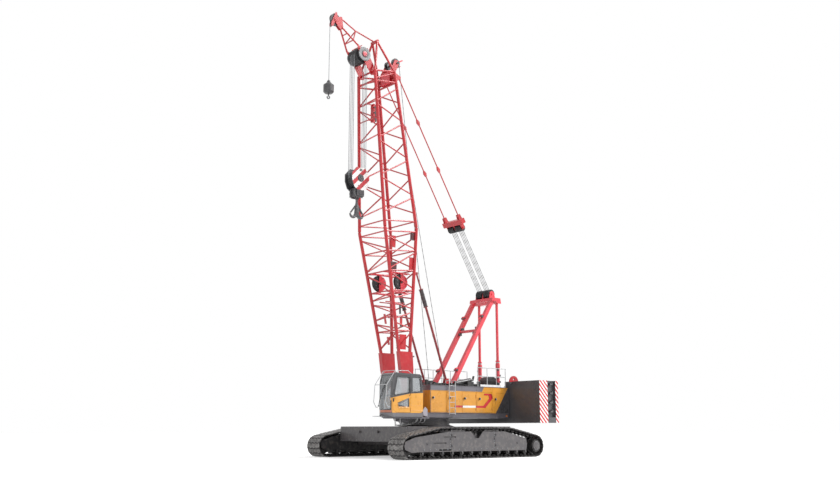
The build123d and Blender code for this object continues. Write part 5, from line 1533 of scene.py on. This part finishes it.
def make_head_details():
    """The pale discs, the red hubs, the keepers and the rear housing with its arm."""
    pale, red, dark, spots = bmesh.new(), bmesh.new(), bmesh.new(), []
    x, z = HEAD_AXLE
    for side in (1, -1):
        out = (0, side, 0)
        add_turned(pale, (x, side * 0.483, z), out,
                   [(0, 0.372), (0.04, 0.378), (0.05, 0.365), (0.05, 0.235), (0.038, 0.22), (0.038, 0.001)], 48)
        add_turned(dark, (x, side * 0.52, z), out, [(0, 0.205), (0.006, 0.2), (0.006, 0.14), (0, 0.135)], 40)
        add_turned(red, (x, side * 0.52, z), out,
                   [(0, 0.14), (0.03, 0.14), (0.036, 0.13), (0.036, 0.07), (0.05, 0.065), (0.05, 0.001)], 32)
        for k in range(10):
            turn = 2 * pi * k / 10
            spots.append(((x + 0.1 * cos(turn), side * 0.555, z + 0.11 * sin(turn)), out))
    add_keepers(red, HEAD_AXLE, 0.485, (75, 122), 0.44, 0.022)
    add_keepers(red, REAR_AXLE, 0.31, (150, 205), 0.39, 0.02)
    add_box(red, (2.64, 2.9), (-0.365, 0.365), (19.62, 20.28))
    add_tube(red, [(2.42, 0.38, 20.86), (2.2, 0.42, 21.02), (2.06, 0.42, 21.1)], 0.036, 10)
    add_tube(dark, [(2.44, 0.4, 20.84), (2.3, 0.41, 20.95)], 0.052, 10)
    for side in (1, -1):
        add_plate(dark, [(2.3, 20.66), (2.55, 20.6), (2.66, 20.9), (2.5, 21.12), (2.28, 21.05)], "y",
                  side * 0.2 - 0.02, side * 0.2 + 0.02)
    finish_piece("head_closing_discs", pale, "boom", disc_grey)
    finish_piece("head_hubs_and_keepers", red, "boom", sunlit_red_enamel, 0.004)
    finish_piece("head_dark_parts", dark, "boom", charcoal_enamel, 0.004)
    add_bolts("head_hub_bolts", "boom", spots, 0.014)


disc_grey = plain_surface("turned_grey_enamel", "#747476", "#8e8e90", 120, 0.36)
make_head_details()
print("head details made")

# %% Hub caps, pins and keepers on the jib
TIP_AXLE = (6.29, 22.33)


def make_jib_details():
    """The tip's hub caps, the jib's pin caps and the bars that keep the rope on."""
    red, dark = bmesh.new(), bmesh.new()
    for side in (1, -1):
        out = (0, side, 0)
        add_turned(red, (TIP_AXLE[0], side * 0.095, TIP_AXLE[1]), out,
                   [(0, 0.13), (0.02, 0.13), (0.03, 0.12), (0.03, 0.06), (0.045, 0.055), (0.045, 0.001)], 28)
        add_turned(red, (5.04, side * 0.53, 20.96), out, [(0, 0.045), (0.014, 0.045), (0.018, 0.001)], 18)
    add_keepers(dark, TIP_AXLE, 0.36, (100, 145), 0.085, 0.02)
    finish_piece("jib_hub_caps", red, "boom", red_enamel, 0.003)
    finish_piece("jib_rope_keepers", dark, "boom", charcoal_enamel)


make_jib_details()
print("jib details made")

# %% [markdown]
# ## Ropes on the boom and the luffing gear
# Wire rope is laid from strands, so light and dark bands run round it at a slant. On the real crane the ropes wind
# on drums. Here the falls between the bail and the gantry have to grow longer as the boom goes down, which
# a solid rope can't do. Each is a straight tube with points only at its two ends. The bands are a wave across the
# rope's height, drawn at 60 mm instead of the real 15 mm, so that they show.

# %% Laid rope
LAY_MM = 60


def make_laid_rope():
    """Galvanised wire rope: bright wire with dark grease between the strands."""
    material, tree, place = start_material("laid_galvanised_rope")
    wave = add_node(tree, "ShaderNodeTexWave", {"Vector": place, "Scale": 1000 / LAY_MM / 20, "Distortion": 0.5},
                    bands_direction="Z")
    share = scaled(tree, wave.outputs["Fac"], 0, 1, 0.3, 0.7)
    colour = mixed(tree, share, linear("#232326"), linear("#8a8c90"))
    relief = add_node(tree, "ShaderNodeBump", {"Height": wave.outputs["Fac"], "Strength": 0.5, "Distance": 0.004})
    return end_material(material, {"Base Color": colour, "Roughness": 0.4, "Metallic": 0.7,
                                   "Normal": relief.outputs[0]})


laid_rope = make_laid_rope()
print("laid rope at", LAY_MM, "mm")

# %% The luffing falls
GANTRY_AXLE = Vector((-4.49, 0, 8.86))
STAY_EYE = Vector((2.42, 0, 19.95))
STAY_WAY = (STAY_EYE - GANTRY_AXLE).normalized()
BAIL_REACH = 4.16
FALL_LANES = (-0.45, -0.34, -0.23, -0.12, 0.13, 0.24, 0.35, 0.46)
FALL_RADIUS = 0.0135


def make_luffing_falls():
    """Eight falls from the gantry's sheaves to the bail's, with a point ring only at each end."""
    mesh = bmesh.new()
    for y in FALL_LANES:
        ends = [GANTRY_AXLE + STAY_WAY * reach + Vector((0, y, 0)) for reach in (0.1, BAIL_REACH - 0.1)]
        add_tube(mesh, ends, FALL_RADIUS, 8)
    falls = finish_piece("luffing_falls", mesh, None, laid_rope)
    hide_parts("luffing_falls_lower", "luffing_falls_upper")
    ends = [tuple(GANTRY_AXLE + STAY_WAY * reach) for reach in (0.5, BAIL_REACH - 0.5)]
    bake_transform(falls)


make_luffing_falls()
print("luffing falls made")

# %% The hoist lines behind the boom
HOIST_LINES = (((-1.72, -0.3, 3.3), (2.19, -0.3, 20.9)), ((-0.02, 0.3, 3.3), (2.19, 0.3, 20.9)))


def make_hoist_lines():
    """Two straight lines from the winches to the head's rear sheaves."""
    mesh = bmesh.new()
    for start, end in HOIST_LINES:
        add_tube(mesh, [start, end], FALL_RADIUS, 8)
    lines = finish_piece("hoist_lines", mesh, None, laid_rope)
    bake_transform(lines)


make_hoist_lines()
print("hoist lines made:", len(HOIST_LINES))

# %% [markdown]
# ## The hooks and the hook block
# The main hook is a forged double hook, called a ramshorn. Two swept horns and a shank overlap, and a fine voxel
# remesh with a little smoothing melts them into one forging, as a hammered part has no sharp inner corners.

# %% The forged double hook
HOOK_X, HOOK_BOWL_Z = 4.71, 12.12
HORN_OFFSET = 0.2225
FORGE_VOXEL = 0.011


def add_swept(mesh, points, radii, sides=20):
    """A round bar through points with its own radius at each of them, in the XZ plane."""
    rings = []
    for i, (point, radius) in enumerate(zip(points, radii)):
        before, after = Vector(points[max(i - 1, 0)]), Vector(points[min(i + 1, len(points) - 1)])
        along = (after - before).normalized()
        across = along.cross(Vector((0, 1, 0))).normalized()
        turns = [2 * pi * k / sides for k in range(sides)]
        rings.append([Vector(point) + radius * (across * cos(t) + Vector((0, 1.35, 0)) * sin(t)) for t in turns])
    add_skin(mesh, rings)


def horn_line(side):
    """One horn's points and radii, from the shank round its bowl to the tip."""
    points, radii = [], []
    for k in range(21):
        run = k / 20
        turn = radians(165 + 205 * run)
        radius = 0.078 - 0.042 * max(0.0, run - 0.5) / 0.5
        path = HORN_OFFSET - radius - 0.002
        points.append((HOOK_X + side * (HORN_OFFSET + path * cos(turn)), 0, HOOK_BOWL_Z + path * sin(turn)))
        radii.append(radius)
    return points, radii


def make_main_hook():
    """The double hook as one smooth forging with its threaded shank."""
    mesh = bmesh.new()
    for side in (1, -1):
        add_swept(mesh, *horn_line(side))
    add_swept(mesh, [(HOOK_X, 0, z) for z in (12.04, 12.2, 12.4, 12.62, 12.7)], [0.09, 0.115, 0.1, 0.074, 0.066])
    add_turned(mesh, (HOOK_X, 0, 12.66), (0, 0, 1), [(0, 0.062), (0.38, 0.062)], 24)
    rough = link_object("main_hook_rough", mesh_data("main_hook_rough", mesh))
    melt = rough.modifiers.new("melt", "REMESH")
    melt.mode, melt.voxel_size = "VOXEL", FORGE_VOXEL
    soften = rough.modifiers.new("soften", "SMOOTH")
    soften.factor, soften.iterations = 0.5, 6
    result = evaluated_mesh(rough)
    result.name = "main_hook_forged"
    bpy.data.objects.remove(rough)
    hook = add_piece("main_hook_forged", result, "main_hook", forged_hook)
    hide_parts("main_hook")
    print("main hook faces:", len(result.polygons))


make_main_hook()

# %% The hook's two safety latches
def make_hook_latches():
    """A spring latch from each horn's tip up to the shank, which keeps a sling in its bowl."""
    mesh = bmesh.new()
    for side in (1, -1):
        tip, top = (HOOK_X + side * 0.385, 12.17), (HOOK_X + side * 0.06, 12.56)
        for y in (-0.05, 0.03):
            add_plate(mesh, [(tip[0] - side * 0.03, tip[1]), (tip[0] + side * 0.012, tip[1] + 0.03),
                             (top[0] + side * 0.04, top[1] + 0.03), (top[0], top[1])], "y", y, y + 0.02)
        add_turned(mesh, (top[0] + side * 0.02, -0.07, top[1] + 0.01), (0, 1, 0), [(0, 0.035), (0.14, 0.035)], 14)
    finish_piece("main_hook_latches", mesh, "main_hook", charcoal_enamel, 0.003)


make_hook_latches()
print("latches made")

# %% Caps, pins and plates on the hook block
def make_block_details():
    """The axle's dark cap, the stripe's rivets, the yoke's grey side plates, its pins and the collar."""
    dark, grey, spots, pins = bmesh.new(), bmesh.new(), [], []
    x, z = BLOCK_AXLE
    for side in (1, -1):
        out = (0, side, 0)
        add_turned(dark, (x, side * 0.33, z), out, [(0, 0.15), (0.018, 0.15), (0.026, 0.14), (0.026, 0.09),
                                                    (0.014, 0.085), (0.014, 0.05), (0.04, 0.045), (0.04, 0.001)], 32)
        pins += axle_spots(x, side * 0.355, z, 0.12, 6, out, 0.3)
        for dx, dz in ((-0.3, 0.34), (0.3, 0.34), (-0.38, -0.1), (0.38, -0.1), (-0.16, -0.4), (0.16, -0.4)):
            spots.append(((x + dx, side * 0.33, z + dz), out))
        plate = [(x - 0.27, 13.44), (x + 0.27, 13.44), (x + 0.31, 13.2), (x + 0.2, 12.98), (x - 0.2, 12.98),
                 (x - 0.31, 13.2)]
        low, high = sorted((side * 0.2, side * 0.235))
        add_plate(grey, plate, "y", low, high)
        add_turned(dark, (x, side * 0.235, 13.24), out, [(0, 0.085), (0.02, 0.085), (0.028, 0.075),
                                                         (0.028, 0.001)], 24)
        for dx, dz in ((-0.2, 13.37), (0.2, 13.37), (-0.22, 13.12), (0.22, 13.12)):
            pins.append(((x + dx, side * 0.235, dz), out))
    for face in (-0.33, 0.29):
        add_plate(grey, [(x - 0.1, 14.36), (x + 0.1, 14.36), (x + 0.07, 14.5), (x - 0.07, 14.5)], "y",
                  face - 0.004, face + 0.044)
    add_turned(dark, (x, 0, 12.93), (0, 0, 1), [(0, 0.1), (0.02, 0.12), (0.08, 0.12), (0.1, 0.1)], 28)
    finish_piece("hook_block_caps", dark, "main_fall", charcoal_enamel, 0.002)
    finish_piece("hook_yoke_plates", grey, "main_fall", yoke_grey, 0.006)
    add_bolts("hook_block_rivets", "main_fall", spots, 0.02)
    add_bolts("hook_block_bolts", "main_fall", pins, 0.013)


yoke_grey = enamel("worn_grey_block_enamel", "#6a6b6c", roughness=0.4, dust=0.15)
make_block_details()
print("hook block details made")

# %% [markdown]
# ## The gantry, the backstops and the deck's last parts
# The gantry carries the luffing gear. Its two front legs have short arms where it is folded and pinned, and its
# telescopic rear legs wear collars and small clamps. The backstops are red tubes whose upper third is a charcoal
# spring housing with bolted flanges.

# %% Collars, clamps and pins on the gantry
GANTRY_FOOT, GANTRY_TOP = (-0.9, 3.23), (-4.37, 8.59)
REAR_LEG_X = -4.7
LEG_Y = 0.7


def gantry_x(z):
    """The X of the middle of the gantry's front legs at a height."""
    return at_height((GANTRY_FOOT, GANTRY_TOP), z)


def make_gantry_details():
    """The pins in charcoal, the rear legs' red collars and pale rings, and the flange bolts."""
    dark, red, pale, spots = bmesh.new(), bmesh.new(), bmesh.new(), []
    for side in (1, -1):
        y = side * LEG_Y
        for z in (4.46, 7.48):
            x = gantry_x(z) + 0.2
            add_turned(dark, (x, y - 0.12, z + 0.02), (0, 1, 0), [(0, 0.045), (0.24, 0.045)], 14)
            add_turned(dark, (x, y + side * 0.1, z + 0.02), (0, side, 0), [(0, 0.07), (0.03, 0.07), (0.04, 0.001)], 14)
        for z in (6.55, 6.85):
            x = gantry_x(z)
            add_box(dark, (x - 0.08, x + 0.09), sorted((side * 0.5, side * 0.6)), (z - 0.07, z + 0.07))
        add_turned(red, (REAR_LEG_X, y, 4.72), (0, 0, 1), [(0, 0.108), (0.01, 0.125), (0.22, 0.125), (0.23, 0.108)], 24)
        add_turned(red, (REAR_LEG_X, y, 3.7), (0, 0, 1), [(0, 0.108), (0.01, 0.12), (0.09, 0.12), (0.1, 0.108)], 24)
        add_turned(pale, (REAR_LEG_X, y, 4.98), (0, 0, 1), [(0, 0.1065), (0.05, 0.1065)], 24)
        for level, way in ((4.6, 1), (4.3, -1), (4.15, 1), (3.95, -1)):
            add_box(dark, (REAR_LEG_X + way * 0.07 - 0.04, REAR_LEG_X + way * 0.07 + 0.04),
                    sorted((side * 0.76, side * 0.82)), (level - 0.05, level + 0.05))
        for k in range(8):
            turn = 2 * pi * k / 8
            spots.append(((REAR_LEG_X + 0.128 * cos(turn), y + 0.128 * sin(turn), 3.3), (0, 0, 1)))
    finish_piece("gantry_collars", dark, "upperworks", charcoal_enamel, 0.005)
    finish_piece("gantry_leg_collars", red, "upperworks", sunlit_red_enamel, 0.003)
    finish_piece("gantry_marks", pale, "upperworks", rail_enamel)
    add_bolts("gantry_leg_bolts", "upperworks", spots, 0.016)


make_gantry_details()
print("gantry details made")

# %% Bolts on the backstops' housings
BACKSTOP_Y = 0.86
HOUSING_REACH = 3.98


def make_backstop_details():
    """A ring of bolts on each flange and two bands round the spring housing."""
    way, bands, spots = (BACKSTOP_EYE - BACKSTOP_FOOT).normalized(), bmesh.new(), []
    across = way.cross(Vector((0, 1, 0)))
    for side in (1, -1):
        base = BACKSTOP_FOOT + Vector((0, side * BACKSTOP_Y, 0))
        for reach in (4.25, 4.62):
            add_turned(bands, tuple(base + way * reach), tuple(way), [(0, 0.106), (0.008, 0.115), (0.05, 0.115),
                                                                     (0.058, 0.106)], 24)
        for reach in (1.1, 2.4):
            add_turned(bands, tuple(base + way * reach), tuple(way), [(0, 0.063), (0.006, 0.075), (0.07, 0.075),
                                                                     (0.076, 0.063)], 20)
        for k in range(6):
            turn = 2 * pi * k / 6
            spoke = across * cos(turn) + Vector((0, 1, 0)) * sin(turn)
            spots.append((tuple(base + way * (HOUSING_REACH - 0.001) + spoke * 0.112), tuple(-way)))
    finish_piece("backstop_bands", bands, "backstop_tubes", backstop_enamel)
    add_bolts("backstop_bolts", "backstop_tubes", spots, 0.009)


make_backstop_details()
print("backstop details made")

# %% The skirt behind the cab
SKIRT = [(1.585, 1.99), (1.585, 2.36), (1.74, 2.48), (1.91, 2.3), (1.86, 2.05)]


def make_skirt():
    """A pale folded plate under the cab's rear corner, on the outer side."""
    mesh = bmesh.new()
    add_plate(mesh, SKIRT, "y", 1.9, 1.93)
    add_plate(mesh, [(1.585, 1.99), (1.62, 1.99), (1.62, 2.36), (1.585, 2.36)], "y", 1.62, 1.91)
    skirt = finish_piece("cab_corner_skirt", mesh, "upperworks", skirt_grey, 0.006)
    return len(skirt.data.polygons)


skirt_grey = enamel("lilac_grey_enamel", "#a7a2ab", roughness=0.4)
print("skirt faces:", make_skirt())
